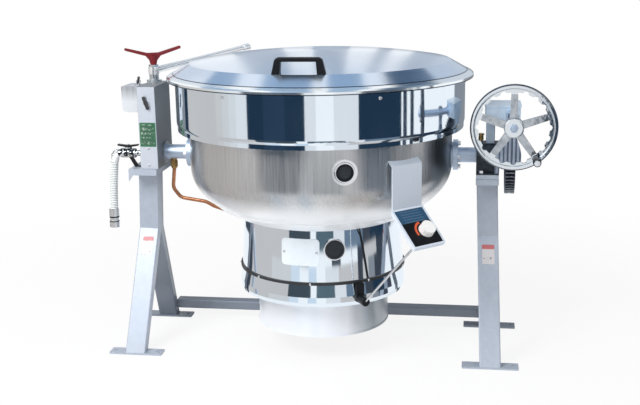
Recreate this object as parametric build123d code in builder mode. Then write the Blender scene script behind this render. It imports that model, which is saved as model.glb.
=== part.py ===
from build123d import *
import os
from math import atan2, cos, degrees, radians, sin, sqrt, tan

# Gas heated tilting kettle with a steam jacket: a lidded bowl hung on two trunnions between
# splayed stands, tilted by a handwheel through a worm and worm wheel.
# Millimetres. Z is up, X runs along the tilt axis to the handwheel stand, the cook stands at -Y,
# and the origin is on the floor below the middle of the bowl.

os.makedirs("parts", exist_ok=True)

# ---- Tilt axis and fits ----
axis_z = 627.0              # tilt axis above the floor
shaft_fit = 0.08            # radial clearance of a shaft in its bearing
seat_gap = 0.3              # gap between a moving piece and the piece it rests on

# ---- Bowl, jacket and drum ----
bowl_drop = 29.0            # straight walls end this far below the tilt axis
bowl_z = axis_z - bowl_drop
jacket_radius = 412.0       # outside of the steam jacket
jacket_depth = 200.0        # depth of its elliptical bottom
jacket_wall = 4.0
jacket_rise = 95.0
jacket_top_z = axis_z + jacket_rise
steam_space = 28.0          # from the jacket's outside to the inside of the bowl
bowl_radius = jacket_radius - steam_space
bowl_depth = jacket_depth - steam_space
bowl_wall = 4.0
drum_overhang = 38.0        # polished skin round the top of the bowl, beyond the jacket
drum_radius = jacket_radius + drum_overhang
drum_wall = 3.0
drum_rise = 89.0
drum_bottom_z = axis_z + drum_rise
drum_corner = 29.0
band_inset = 80.0           # skirt welded under the jacket, in from the jacket's side
band_outer_radius = jacket_radius - band_inset
band_wall = 3.0
band_height = 160.0

# ---- Lid ----
lid_overhang = 25.0         # lid's lip beyond the drum
lid_radius = drum_radius + lid_overhang
lid_rise = 246.0
lid_lip_z = axis_z + lid_rise
lid_wall = 3.0
lip_height = 9.0
lip_bevel = 5.0             # slope between the lip and the sloping band
shoulder_inset = 20.0
shoulder_radius = lid_radius - shoulder_inset
shoulder_rise = 20.0
crown_inset = 70.0
crown_radius = lid_radius - crown_inset
crown_rise = 49.0
apex_rise = 80.0
rim_thickness = 6.0         # rolled rim of the bowl, under the lid

# ---- Lid handle ----
handle_inset = 15.0         # handle inward from the edge of the crown
handle_y = handle_inset - crown_radius
handle_foot_width = 157.0
handle_top_width = 131.0
handle_height = 47.0
handle_depth = 20.0
handle_foot = 26.0
handle_bar = 12.0
handle_sink = 8.0           # feet start this far below the crown's edge, then are cut to the lid

# ---- Lid hinge ----
hinge_pin_radius = 6.0
hinge_reach = 17.0          # pin out from the lid's lip
hinge_y = lid_radius + hinge_reach
hinge_rise = 6.0            # pin above the lower edge of the lid
lug_gap = 0.6
hinge_pitch = 120.0         # distance between the two hinges
hinge_lug = 14.0
hinge_knuckle_radius = 13.0
hinge_strap_thickness = 4.0
hinge_strap_width = 30.0
bracket_run = 40.0          # bracket's sides inside the drum, before they are cut to it
bracket_foot = 45.0         # bracket's heights below the lid's lower edge
bracket_bottom = 20.0
bracket_top = 12.0

# ---- Burner housing ----
casing_top_radius = 252.0
casing_bottom_radius = 260.0
casing_drop = 348.0
casing_bottom_z = axis_z - casing_drop
casing_wall = 3.0
band_gap = 4.0              # room between the casing and the skirt above it
band_inner_radius = casing_top_radius + band_gap
seam_height = 8.0
seam_lip = 5.0
belt_radius = 268.0
belt_edge = 1.0             # upper edge of the belt beyond the casing
belt_taper = 6.0            # lower edge of the belt inside its widest part
belt_height = 69.0
belt_wall = 3.0
skirt_radius = 210.0
skirt_wall = 3.0
skirt_height = 116.0
skirt_bead = 2.0
burner_radius = 120.0
burner_tube = 14.0
burner_drop = 330.0
burner_z = axis_z - burner_drop
burner_arm_radius = 7.0
air_plate_lift = 12.0
air_plate_thickness = 3.0
air_hole_radius = 28.0      # middle hole, then two rings of holes: their radius, number, hole radius
air_rings = ((80.0, 6, 20.0), (150.0, 12, 22.0))

# ---- Trunnions ----
flange_radius = 47.5
flange_reach = 19.0         # flange's outer face beyond the jacket
flange_face_x = jacket_radius + flange_reach
flange_thickness = 15.0
trunnion_radius = 23.5
pad_radius = 40.0
flange_bolt_circle = 36.5
bolt_head = 13.0
bolt_head_height = 8.0
gear_shaft_radius = 17.0
gear_shaft_spare = 10.0     # shaft beyond the worm wheel
left_shaft_reach = 46.0     # left trunnion inside the head box

# ---- Stands ----
stand_lean = 2.0            # degrees, feet further apart than heads
left_head_x = -564.0
right_head_x = 522.0
leg_width = 65.0
leg_thickness = 28.0
leg_corner = 4.0
bend_z = 375.0
foot_spread = 186.0
foot_length = 172.0
foot_width = 45.0
foot_thickness = 6.0
foot_corner = 3.0
foot_cut_share = 0.64       # half length of the leg's cut end, as a share of its thickness
foot_centre_y = 182.5
foot_hole_radius = 6.0
foot_hole_pitch = 140.0
cap_half_y = 88.0
left_cap_width = 92.0
left_cap_height = 20.0
left_cap_wall = 5.0
left_cap_drop = 43.0
left_cap_z = axis_z - left_cap_drop
gusset_height = 20.0
right_cap_width = 69.0
right_cap_height = 17.0
right_cap_drop = 60.0
right_cap_z = axis_z - right_cap_drop
beam_front_y = 172.0
beam_depth = 42.0
beam_bottom_z = 30.0
beam_height = 31.0

# ---- Left head box, water tap and gas fittings ----
box_inner_x = -512.0
box_width = 58.0
box_half_y = 80.0
box_height = 263.0
box_wall = 3.0
cover_margin = 1.0          # head box left bare round its cover
cover_thickness = 2.0
bush_radius = 30.0
bush_length = 40.0
collar_radius = 35.0
collar_width = 7.0
side_cover_depth = 64.0
side_cover_half_y = 42.0
side_cover_height = 82.0
side_cover_rise = 133.0
side_cover_z = axis_z + side_cover_rise
side_cover_corner = 16.0
vent_inset = 30.0
vent_length = 32.0
vent_width = 14.0
vent_height = 6.0
vent_ring_radius = 7.0
vent_ring_width = 8.0
tap_x = -555.0
tap_y = 60.0
tap_flange_radius = 24.0
tap_flange_height = 6.0
tap_body_radius = 15.0
tap_body_height = 17.0
spout_hub_radius = 17.0
spout_hub_height = 25.0
spout_hub_wall = 9.0
spout_radius = 11.0
spout_length = 424.0
spout_heading = 59.0        # degrees from +X, resting clear of the lid
spout_rise = 5.1            # degrees
nozzle_radius = 13.5
nozzle_length = 26.0
nozzle_wall = 4.0
bonnet_radius = 14.0
bonnet_height = 6.0
stem_radius = 5.0
stem_height = 18.0
wing_span = 182.0
wing_rest = 30.0            # degrees from +X
wing_hub_radius = 12.0
wing_hub_height = 38.0
wing_rise = 15.0
wing_thickness = 13.0
wing_bar = 9.0
cock_x = -622.0
cock_y = -40.0
cock_rise = 1.0
cock_z = axis_z + cock_rise
cock_radius = 15.0
cock_half_length = 24.0
cock_neck_height = 5.0
cock_stem_radius = 4.0
cock_stem_height = 9.0
lever_half_length = 34.0
lever_lift = 4.0
lever_bar = 5.0
lever_thickness = 12.0
strap_bar = 4.0
strap_width = 14.0
strap_inset = 9.0
nipple_radius = 9.0
hose_x = -668.0
hose_radius = 13.0
elbow_radius = 12.0
elbow_bend = 14.0
elbow_drop = 30.0
elbow_lean = 3.5             # sideways reach of the elbow's lower leg
hose_upper_run = 78.0
hose_lower_run = 78.0
hose_lower_lean = 2.0
hose_coupling_radius = 16.0
hose_coupling_length = 61.0
coupling_waist = 2.0
gas_bore_radius = 8.0
gas_bore_depth = 18.0

# ---- Right bearing, worm and worm wheel ----
block_left_x = 487.5
block_width = 69.0
block_radius = 50.0
block_flat = 41.0           # flat top above the axis
block_flare = 6.0           # spread of the block's sides towards its base
block_base_half_y = 85.0
block_base_height = 18.0
worm_x = 590.0
worm_offset = 135.0         # worm axis above the tilt axis
worm_radius = 17.0          # core of the worm, below its thread
worm_length = 88.0
worm_shaft_radius = 11.0
thrust_collar_radius = 17.0
thrust_collar_width = 10.0
gear_module = 4.0
gear_teeth = 56
gear_width = 29.0
gear_hub_radius = 27.0
gear_web = 12.0
worm_room = 3.0             # room round the worm and the worm wheel in the housing
housing_half_y = 58.0
housing_left_x = 512.0
housing_right = 28.0        # housing beyond the worm axis
housing_corner = 6.0
housing_height = 42.0
housing_wall = 10.0
housing_bottom_rise = 115.0
housing_cover_thickness = 6.0
cover_overhang = 2.0
post_left_x = 516.0
post_width = 27.0
post_half_y = 22.0
pedestal_front_y = -150.0
pedestal_thickness = 22.0
pedestal_width = 53.0
pedestal_rise = 7.0
pedestal_base_z = axis_z + pedestal_rise
pedestal_arm_width = 15.0
pedestal_foot = 12.0
pedestal_boss = 19.0
pedestal_neck = 10.0
rib_pitch = 12.0
rib_width = 5.0
rib_height = 4.0
web_rise = 16.0
web_foot = 22.0

# ---- Handwheel ----
wheel_y = -290.0
wheel_radius = 122.0
wheel_rim = 14.0            # radial width of the rim
wheel_rim_depth = 18.0
wheel_rim_round = 5.0
wheel_hub_radius = 28.0
wheel_hub_depth = 34.0
wheel_spokes = 5
wheel_scallops = 20
scallop_radius = 9.0
scallop_depth = 9.0
scallop_thickness = 10.0
hub_round = 4.0
hub_nut_radius = 10.5
hub_nut_height = 9.0
hub_stud_radius = 6.0
spoke_root = 23.0
spoke_tip = 17.0
spoke_thickness = 9.0
grip_circle = 108.0
grip_angle = -54.0
grip_radius = 12.4
grip_length = 62.0
grip_pin_radius = 4.0
grip_head_radius = 7.5
grip_head_height = 3.0
grip_boss_height = 6.0

# ---- Controls on the bowl ----
control_azimuth = -46.5     # degrees, seen from the bowl's axis
arm_plate_gap = 11.0        # bracket plate off the jacket
arm_plate_radius = jacket_radius + arm_plate_gap
arm_plate_width = 108.0
arm_plate_thickness = 4.0
arm_top_rise = 27.0
arm_top_z = axis_z + arm_top_rise
arm_bend = 14.0             # slope of the plate's top and bottom towards the jacket and the tray
panel_drop = 97.0
panel_top_z = axis_z - panel_drop
panel_width = 116.0
panel_length = 137.0
panel_tilt = 41.0           # degrees below the horizontal
panel_depth = 12.0
panel_border = 6.0
panel_recess = 2.5
upper_length = 44.0         # upper field of the panel
field_gap = 1.0
field_thickness = 1.5
field_corner = 1.5
knob_side_share = 0.13      # knob's place on the panel, as shares of its width and length
knob_down_share = 0.13
knob_radius = 23.0
knob_height = 20.0
knob_bush_radius = 6.0
knob_bush_height = 4.0
knob_cuts = 10
knob_cut_radius = 6.5
knob_cut_offset = 5.0
sight_azimuth = -72.5
sight_rise = 22.0
sight_z = axis_z + sight_rise
sight_radius = 37.0
sight_glass_radius = 19.0
peep_azimuth = -73.5
peep_drop = 246.0
peep_z = axis_z - peep_drop
peep_radius = 33.0
peep_glass_radius = 24.0
blank_azimuth = -97.0
blank_drop = 255.0
blank_z = axis_z - blank_drop
blank_width = 118.0
blank_height = 82.0
blank_thickness = 2.0
blank_corner = 12.0

# ---- Rod, valve, conduit and pipes on the bowl ----
rod_radius = 3.5
rod_inset = 14.0            # rod's top inward from the tray's edges
rod_clip_width = 20.0
rod_clip_height = 4.0
valve_azimuth = -57.5
valve_rise = 22.0
valve_reach = 40.0          # rod's foot out from the belt
valve_radius = 13.0
valve_seat = 8.0
valve_plate_width = 26.0
valve_plate_height = 58.0
valve_plate_thickness = 8.0
conduit_radius = 2.2
conduit_bends = (14.0, 14.0, 40.0)
union_x = -484.0
union_drop = 31.0
union_radius = 9.0
union_nut_radius = 10.5
union_nut_lift = 5.0
union_nut_height = 22.0
copper_radius = 6.0
copper_bends = (30.0, 30.0, 50.0, 40.0)


def finish(piece, label):
    """Name a finished piece and write its file."""
    piece.part.label = label
    export_step(piece.part, "parts/" + label + ".step")


def ellipse_z(radius, half_width, depth):
    """Height of a bowl's elliptical bottom at a radius."""
    return bowl_z - depth * sqrt(1 - (radius / half_width) ** 2)


def dish(radius, depth, top):
    """Half section of a straight sided bowl with an elliptical bottom."""
    with BuildSketch(Plane.XZ) as section:
        with BuildLine():
            Polyline((0, bowl_z - depth), (0, top), (radius, top), (radius, bowl_z))
            EllipticalCenterArc((0, bowl_z), radius, depth, start_angle=270, arc_size=90)
        make_face()
    return section.sketch


def ring(points):
    """Section face on the XZ plane from a closed list of (radius, height) corners."""
    with BuildSketch(Plane.XZ) as section:
        with BuildLine():
            Polyline(*points, close=True)
        make_face()
    return section.sketch


def radial_plane(azimuth, distance, height):
    """Plane facing straight out from the bowl's axis, its local Y upward."""
    outward = (cos(radians(azimuth)), sin(radians(azimuth)), 0)
    sideways = (-sin(radians(azimuth)), cos(radians(azimuth)), 0)
    origin = (distance * outward[0], distance * outward[1], height)
    return Plane(origin=origin, x_dir=sideways, z_dir=outward)


def tube(points, radii, radius):
    """Round bar swept along straight runs that are joined by bends."""
    with BuildPart() as bar:
        with BuildLine() as route:
            FilletPolyline(*points, radius=radii)
        with BuildSketch(Plane(origin=route.wire() @ 0, z_dir=route.wire() % 0)):
            Circle(radius)
        sweep(path=route.wire())
    return bar


def disc_x(station, radius, y=0.0, z=axis_z):
    """Round section that faces along X."""
    with BuildSketch(Plane.YZ.offset(station)) as disc:
        with Locations((y, z)):
            Circle(radius)
    return disc.sketch


# ======== Bowl body ========

# Lid profile heights, shared by the lid, the bowl's rim and the hinge.
shoulder_z = lid_lip_z + shoulder_rise
crown_z = lid_lip_z + crown_rise
apex_z = lid_lip_z + apex_rise
band_slope = (crown_z - shoulder_z) / (shoulder_radius - crown_radius)
lid_drop = lid_wall * sqrt(1 + band_slope ** 2)
rim_z = shoulder_z + band_slope * (shoulder_radius - drum_radius) - lid_drop - seat_gap

# Cooking bowl with its flat rim.
with BuildPart() as inner_bowl:
    revolve(dish(bowl_radius + bowl_wall, bowl_depth + bowl_wall, rim_z), axis=Axis.Z)
    with BuildSketch(Plane.XY.offset(rim_z - rim_thickness)):
        Circle(drum_radius)
    extrude(amount=rim_thickness)
    revolve(dish(bowl_radius, bowl_depth, rim_z), axis=Axis.Z, mode=Mode.SUBTRACT)
    rim_edges = inner_bowl.edges().filter_by(GeomType.CIRCLE).group_by(SortBy.RADIUS)[-1]
    fillet(rim_edges.sort_by(Axis.Z)[-1], radius=rim_thickness / 3)
finish(inner_bowl, "inner_bowl")

# Steam jacket round the lower bowl, closed to it by a ring at its top.
with BuildPart() as steam_jacket:
    revolve(dish(jacket_radius, jacket_depth, jacket_top_z), axis=Axis.Z)
    inner_jacket = dish(jacket_radius - jacket_wall, jacket_depth - jacket_wall, jacket_top_z - jacket_wall)
    revolve(inner_jacket, axis=Axis.Z, mode=Mode.SUBTRACT)
    with BuildSketch(Plane.XY.offset(jacket_top_z)):
        Circle(bowl_radius + bowl_wall)
    extrude(amount=-2 * jacket_wall, mode=Mode.SUBTRACT)
finish(steam_jacket, "steam_jacket")

# Polished drum skin with a rounded lower corner turned in to the jacket.
drum_top_z = rim_z - rim_thickness
drum_outline = [
    (drum_radius, drum_top_z),
    (drum_radius, drum_bottom_z),
    (jacket_radius, drum_bottom_z),
    (jacket_radius, drum_bottom_z + drum_wall),
    (drum_radius - drum_wall, drum_bottom_z + drum_wall),
    (drum_radius - drum_wall, drum_top_z),
]
with BuildPart() as rim_drum:
    with BuildSketch(Plane.XZ) as drum_section:
        with BuildLine():
            Polyline(*drum_outline, close=True)
        make_face()
        corners = drum_section.vertices().group_by(Axis.X)
        fillet(corners[-1].sort_by(Axis.Y)[0], radius=drum_corner)
        fillet(corners[-2].sort_by(Axis.Y)[0], radius=drum_corner - drum_wall)
    revolve(axis=Axis.Z)
finish(rim_drum, "rim_drum")

# Skirt ring welded under the jacket, following its curve.
with BuildPart() as jacket_skirt:
    revolve(dish(jacket_radius + band_wall, jacket_depth + band_wall, axis_z), axis=Axis.Z)
    revolve(dish(jacket_radius, jacket_depth, axis_z), axis=Axis.Z, mode=Mode.SUBTRACT)
    with BuildSketch(Plane.XY.offset(bowl_z - jacket_depth - band_wall)):
        Circle(band_outer_radius)
        Circle(band_inner_radius, mode=Mode.SUBTRACT)
    extrude(amount=band_height, mode=Mode.INTERSECT)
finish(jacket_skirt, "jacket_skirt")

# Mirror polished burner casing, slightly wider at its foot.
casing_top_z = ellipse_z(casing_top_radius - casing_wall, jacket_radius, jacket_depth)
casing_outline = [
    (casing_top_radius, casing_top_z),
    (casing_bottom_radius, casing_bottom_z),
    (casing_bottom_radius - casing_wall, casing_bottom_z),
    (casing_top_radius - casing_wall, casing_top_z),
]
with BuildPart() as burner_casing:
    revolve(ring(casing_outline), axis=Axis.Z)
finish(burner_casing, "burner_casing")


def casing_radius(height):
    """Outer radius of the burner casing at a height."""
    share = (casing_top_z - height) / (casing_top_z - casing_bottom_z)
    return casing_top_radius + (casing_bottom_radius - casing_top_radius) * share


casing_solid = [
    (0, casing_top_z),
    (0, casing_bottom_z),
    (casing_bottom_radius, casing_bottom_z),
    (casing_top_radius, casing_top_z),
]

# Dark seal between the casing and the belt below it.
seam_bottom_z = casing_bottom_z - seam_height
with BuildPart() as seam_seal:
    with BuildSketch(Plane.XY.offset(seam_bottom_z)):
        Circle(casing_bottom_radius + seam_lip)
        Circle(casing_bottom_radius - 2 * casing_wall, mode=Mode.SUBTRACT)
    extrude(amount=seam_height)
finish(seam_seal, "seam_seal")

# Bulged belt that narrows to the base skirt.
belt_bottom_z = seam_bottom_z - belt_height
belt_top_radius = casing_bottom_radius + belt_edge
belt_foot_radius = belt_radius - belt_taper
belt_wide_z = seam_bottom_z - 0.55 * belt_height
belt_turn_z = seam_bottom_z - 0.8 * belt_height
belt_outline = [
    (belt_top_radius, seam_bottom_z),
    (belt_radius, belt_wide_z),
    (belt_radius, belt_turn_z),
    (belt_foot_radius, belt_bottom_z),
    (skirt_radius - skirt_wall, belt_bottom_z),
    (skirt_radius - skirt_wall, belt_bottom_z + belt_wall),
    (belt_foot_radius - belt_wall, belt_bottom_z + belt_wall),
    (belt_radius - belt_wall, belt_turn_z),
    (belt_radius - belt_wall, belt_wide_z),
    (belt_top_radius - belt_wall, seam_bottom_z),
]
with BuildPart() as base_belt:
    revolve(ring(belt_outline), axis=Axis.Z)
finish(base_belt, "base_belt")

# Base skirt, open below, with a rolled lower edge.
skirt_bottom_z = belt_bottom_z - skirt_height
with BuildPart() as base_skirt:
    with BuildSketch(Plane.XY.offset(skirt_bottom_z)):
        Circle(skirt_radius)
    extrude(amount=skirt_height)
    with BuildSketch(Plane.XY.offset(skirt_bottom_z)):
        Circle(skirt_radius + skirt_bead)
    extrude(amount=2 * skirt_bead)
    with BuildSketch(Plane.XY.offset(skirt_bottom_z)):
        Circle(skirt_radius - skirt_wall)
    extrude(amount=skirt_height, mode=Mode.SUBTRACT)
finish(base_skirt, "base_skirt")

# Air inlet plate inside the base skirt.
air_plate_radius = skirt_radius - skirt_wall
with BuildPart() as air_plate:
    with BuildSketch(Plane.XY.offset(skirt_bottom_z + air_plate_lift)):
        Circle(air_plate_radius)
        Circle(air_hole_radius, mode=Mode.SUBTRACT)
        for ring_radius, count, hole_radius in air_rings:
            with PolarLocations(ring_radius, count):
                Circle(hole_radius, mode=Mode.SUBTRACT)
    extrude(amount=air_plate_thickness)
finish(air_plate, "air_plate")

# Ring burner on three arms that reach the casing.
burner_reach = casing_radius(burner_z + burner_arm_radius) - casing_wall - seat_gap
with BuildPart() as burner_ring:
    with Locations((0, 0, burner_z)):
        Torus(burner_radius, burner_tube)
    for azimuth in (30, 150, 270):
        with BuildSketch(radial_plane(azimuth, burner_radius, burner_z)):
            Circle(burner_arm_radius)
        extrude(amount=burner_reach - burner_radius)
finish(burner_ring, "burner_ring")

# ======== Lid ========

lid_outer = [
    (crown_radius, crown_z),
    (shoulder_radius, shoulder_z),
    (lid_radius - lip_bevel, lid_lip_z + lip_height + 0.8 * lip_bevel),
    (lid_radius, lid_lip_z + lip_height),
    (lid_radius, lid_lip_z),
]


def lid_half(drop):
    """Half section below the lid's top face, lowered and drawn in by the sheet's thickness."""
    inset = drop * 0.55
    with BuildSketch(Plane.XZ) as section:
        with BuildLine():
            crown = ThreePointArc(
                (0, apex_z - drop),
                (crown_radius * 0.52, crown_z + (apex_z - crown_z) * 0.78 - drop),
                (crown_radius - inset, crown_z - drop * 0.98),
            )
            edge = [(shoulder_radius - inset, shoulder_z - drop)]
            edge += [(radius - drop * 0.9, height - drop) for radius, height in lid_outer[2:-1]]
            Polyline(crown @ 1, *edge, (lid_radius - drop * 0.9, lid_lip_z), (0, lid_lip_z), crown @ 0)
        make_face()
    return section.sketch


with BuildPart() as lid_shell:
    revolve(lid_half(0), axis=Axis.Z)
    revolve(lid_half(lid_wall), axis=Axis.Z, mode=Mode.SUBTRACT)
finish(lid_shell, "lid_shell")

# Black bow handle, its feet cut to the lid's slope.
handle_base_z = crown_z - handle_sink
handle_top_z = crown_z + handle_height
with BuildPart() as lid_handle:
    with BuildSketch(Plane.XZ.offset(-handle_y - handle_depth / 2)) as bow:
        with BuildLine():
            Polyline(
                (-handle_foot_width / 2, handle_base_z),
                (-handle_top_width / 2, handle_top_z),
                (handle_top_width / 2, handle_top_z),
                (handle_foot_width / 2, handle_base_z),
                close=True,
            )
        make_face()
        fillet(bow.vertices().group_by(Axis.Y)[-1], radius=handle_bar * 1.2)
        with BuildLine():
            Polyline(
                (-handle_foot_width / 2 + handle_foot, handle_base_z),
                (-handle_top_width / 2 + handle_bar + 4, handle_top_z - handle_bar),
                (handle_top_width / 2 - handle_bar - 4, handle_top_z - handle_bar),
                (handle_foot_width / 2 - handle_foot, handle_base_z),
                close=True,
            )
        make_face(mode=Mode.SUBTRACT)
    extrude(amount=handle_depth)
    long_edges = lid_handle.edges().filter_by(Axis.X).group_by(Axis.Z)[-1]
    fillet(long_edges, radius=handle_bar / 3)
    revolve(lid_half(0), axis=Axis.Z, mode=Mode.SUBTRACT)
finish(lid_handle, "lid_handle")

# Hinge line behind the bowl, clear of the lid's edge.
hinge_z = lid_lip_z + hinge_rise
hinge_stations = (-hinge_pitch / 2, hinge_pitch / 2)

# Brackets on the drum: each goes out below the lid's edge and up to a lug beside the strap.
strap_half = hinge_strap_width / 2
with BuildPart() as hinge_brackets:
    for station in hinge_stations:
        for side in (-1, 1):
            lug_start = station + side * (strap_half + lug_gap)
            with BuildSketch(Plane.YZ.offset(lug_start)):
                with BuildLine():
                    Polyline(
                        (drum_radius - bracket_run, lid_lip_z - bracket_foot),
                        (drum_radius - bracket_run, lid_lip_z - bracket_top),
                        (hinge_y - hinge_knuckle_radius, lid_lip_z - bracket_top),
                        (hinge_y - hinge_knuckle_radius, hinge_z),
                        (hinge_y + hinge_knuckle_radius, hinge_z),
                        (hinge_y + hinge_knuckle_radius, lid_lip_z - bracket_bottom),
                        close=True,
                    )
                make_face()
                with Locations((hinge_y, hinge_z)):
                    Circle(hinge_knuckle_radius)
                    Circle(hinge_pin_radius, mode=Mode.SUBTRACT)
            extrude(amount=side * hinge_lug)
    with BuildSketch(Plane.XY.offset(lid_lip_z - 2 * bracket_foot)):
        Circle(drum_radius)
    extrude(amount=2 * bracket_foot, mode=Mode.SUBTRACT)
finish(hinge_brackets, "hinge_brackets")

# Hinge pins, one through each pair of lugs.
pin_half = strap_half + lug_gap + hinge_lug + 3
with BuildPart() as hinge_pins:
    for station in hinge_stations:
        extrude(disc_x(station - pin_half, hinge_pin_radius, hinge_y, hinge_z), amount=2 * pin_half)
finish(hinge_pins, "hinge_pins")

# Straps on the lid's sloping band, rolled round the pins.
strap_start = lid_radius + 4
with BuildPart() as hinge_straps:
    for station in hinge_stations:
        with BuildSketch(Plane.YZ.offset(station - strap_half)):
            with BuildLine():
                Polyline(
                    (crown_radius, crown_z),
                    (crown_radius, crown_z + hinge_strap_thickness),
                    (shoulder_radius, shoulder_z + hinge_strap_thickness + 1),
                    (hinge_y - 3, hinge_z + hinge_knuckle_radius - 1),
                    (hinge_y - 3, hinge_z + hinge_pin_radius + 2),
                    (strap_start, hinge_z + 3),
                    (lid_radius - 14, lid_lip_z + lip_height - 2),
                    (lid_radius - 40, lid_lip_z + lip_height),
                    close=True,
                )
            make_face()
            with Locations((hinge_y, hinge_z)):
                Circle(hinge_knuckle_radius - 1)
        extrude(amount=hinge_strap_width)
    revolve(lid_half(0), axis=Axis.Z, mode=Mode.SUBTRACT)
    for station in hinge_stations:
        with BuildSketch(Plane.YZ.offset(station - strap_half)):
            with Locations((hinge_y, hinge_z)):
                Circle(hinge_pin_radius + shaft_fit)
        extrude(amount=hinge_strap_width, mode=Mode.SUBTRACT)
finish(hinge_straps, "hinge_straps")

# ======== Trunnions ========

bolt_places = [
    (flange_bolt_circle * cos(radians(angle)), flange_bolt_circle * sin(radians(angle)))
    for angle in range(0, 360, 90)
]
flange_inner_x = flange_face_x - flange_thickness


def saddle(side):
    """Boss between the jacket and a trunnion's flange."""
    with BuildPart() as boss:
        extrude(disc_x(side * flange_inner_x, pad_radius), amount=-side * pad_radius)
        with BuildSketch(Plane.XY.offset(axis_z - 2 * pad_radius)):
            Circle(jacket_radius)
        extrude(amount=4 * pad_radius, mode=Mode.SUBTRACT)
    return boss.part


left_saddle = saddle(-1)
right_saddle = saddle(1)
left_shaft_end = box_inner_x - left_shaft_reach
block_right_x = block_left_x + block_width
gear_left_x = worm_x - gear_width / 2
gear_right_x = worm_x + gear_width / 2
gear_hub_start = block_right_x + 2 * seat_gap

# Left trunnion: boss, flange and a plain stub that turns in the head box.
with BuildPart() as left_trunnion:
    add(left_saddle)
    extrude(disc_x(-flange_face_x, flange_radius), amount=flange_thickness)
    extrude(disc_x(left_shaft_end, trunnion_radius), amount=-flange_face_x - left_shaft_end)
finish(left_trunnion, "left_trunnion")

# Right trunnion, stepped down behind its bearing for the worm wheel.
with BuildPart() as right_trunnion:
    add(right_saddle)
    extrude(disc_x(flange_inner_x, flange_radius), amount=flange_thickness)
    extrude(disc_x(flange_face_x, trunnion_radius), amount=gear_hub_start - flange_face_x)
    extrude(disc_x(gear_hub_start, gear_shaft_radius), amount=gear_right_x + gear_shaft_spare - gear_hub_start)
finish(right_trunnion, "right_trunnion")

# Hexagon bolts of both trunnion flanges.
with BuildPart() as trunnion_bolts:
    for side in (-1, 1):
        with BuildSketch(Plane.YZ.offset(side * flange_face_x)):
            with Locations(*[(y, axis_z + z) for y, z in bolt_places]):
                RegularPolygon(bolt_head / 2, 6, major_radius=False)
        extrude(amount=side * bolt_head_height)
finish(trunnion_bolts, "trunnion_bolts")

# Worm wheel: straight flanked teeth, a throat for the worm, a thin web and a hub on the shaft.
pitch_radius = gear_module * gear_teeth / 2
tip_radius = worm_offset - worm_radius - 0.8
rim_tip = tip_radius + 1.2
root_radius = pitch_radius - 1.25 * gear_module
tooth_angle = 360 / gear_teeth
gap_root = 0.3 * gear_module * 3.1416
gap_tip = 0.75 * gear_module * 3.1416
with BuildPart() as worm_wheel:
    with BuildSketch(Plane.YZ.offset(gear_left_x)) as teeth:
        with Locations((0, axis_z)):
            Circle(rim_tip)
            Circle(gear_shaft_radius, mode=Mode.SUBTRACT)
            with PolarLocations(0, gear_teeth):
                with Locations(((root_radius + rim_tip + 2) / 2, 0)):
                    Trapezoid(
                        gap_tip, rim_tip + 2 - root_radius, 90 - degrees(
                            atan2((gap_tip - gap_root) / 2, rim_tip + 2 - root_radius)
                        ), rotation=90, mode=Mode.SUBTRACT,
                    )
    extrude(amount=gear_width)
    for face_x, inward in ((gear_left_x, 1), (gear_right_x, -1)):
        with BuildSketch(Plane.YZ.offset(face_x)):
            with Locations((0, axis_z)):
                Circle(root_radius - 9)
                Circle(gear_hub_radius, mode=Mode.SUBTRACT)
        extrude(amount=inward * (gear_width - gear_web) / 2, mode=Mode.SUBTRACT)
    with BuildSketch(Plane.YZ.offset(gear_hub_start)):
        with Locations((0, axis_z)):
            Circle(gear_hub_radius)
            Circle(gear_shaft_radius, mode=Mode.SUBTRACT)
    extrude(amount=gear_left_x - gear_hub_start)
    with BuildSketch(Plane.XZ):
        with Locations((worm_x, axis_z + worm_offset)):
            Circle(worm_radius + 0.8)
    revolve(axis=Axis((0, 0, axis_z), (1, 0, 0)), mode=Mode.SUBTRACT)
finish(worm_wheel, "worm_wheel")

# ======== Controls, glasses and pipes on the bowl ========

# Level glass: a stepped frame let on to the jacket wall, and its lens.
with BuildPart() as sight_frame:
    with BuildSketch(radial_plane(sight_azimuth, jacket_radius - 6, sight_z)):
        Circle(sight_radius)
    extrude(amount=11)
    with BuildSketch(radial_plane(sight_azimuth, jacket_radius + 5, sight_z)):
        Circle(sight_radius * 0.76)
    extrude(amount=6)
    with BuildSketch(radial_plane(sight_azimuth, jacket_radius - 10, sight_z)):
        Circle(sight_glass_radius)
    extrude(amount=30, mode=Mode.SUBTRACT)
    revolve(dish(jacket_radius, jacket_depth, jacket_top_z), axis=Axis.Z, mode=Mode.SUBTRACT)
finish(sight_frame, "sight_frame")

with BuildPart() as sight_glass:
    with BuildSketch(radial_plane(sight_azimuth, jacket_radius, sight_z)):
        Circle(sight_glass_radius)
    extrude(amount=7)
finish(sight_glass, "sight_glass")

# Flame peep hole on the casing.
peep_wall = casing_radius(peep_z)
with BuildPart() as peep_frame:
    with BuildSketch(radial_plane(peep_azimuth, peep_wall - 4, peep_z)):
        Circle(peep_radius)
        Circle(peep_glass_radius, mode=Mode.SUBTRACT)
    extrude(amount=10)
    revolve(ring(casing_solid), axis=Axis.Z, mode=Mode.SUBTRACT)
finish(peep_frame, "peep_frame")

with BuildPart() as peep_glass:
    with BuildSketch(radial_plane(peep_azimuth, peep_wall - 4, peep_z)):
        Circle(peep_glass_radius)
    extrude(amount=7)
    revolve(ring(casing_solid), axis=Axis.Z, mode=Mode.SUBTRACT)
finish(peep_glass, "peep_glass")

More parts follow.
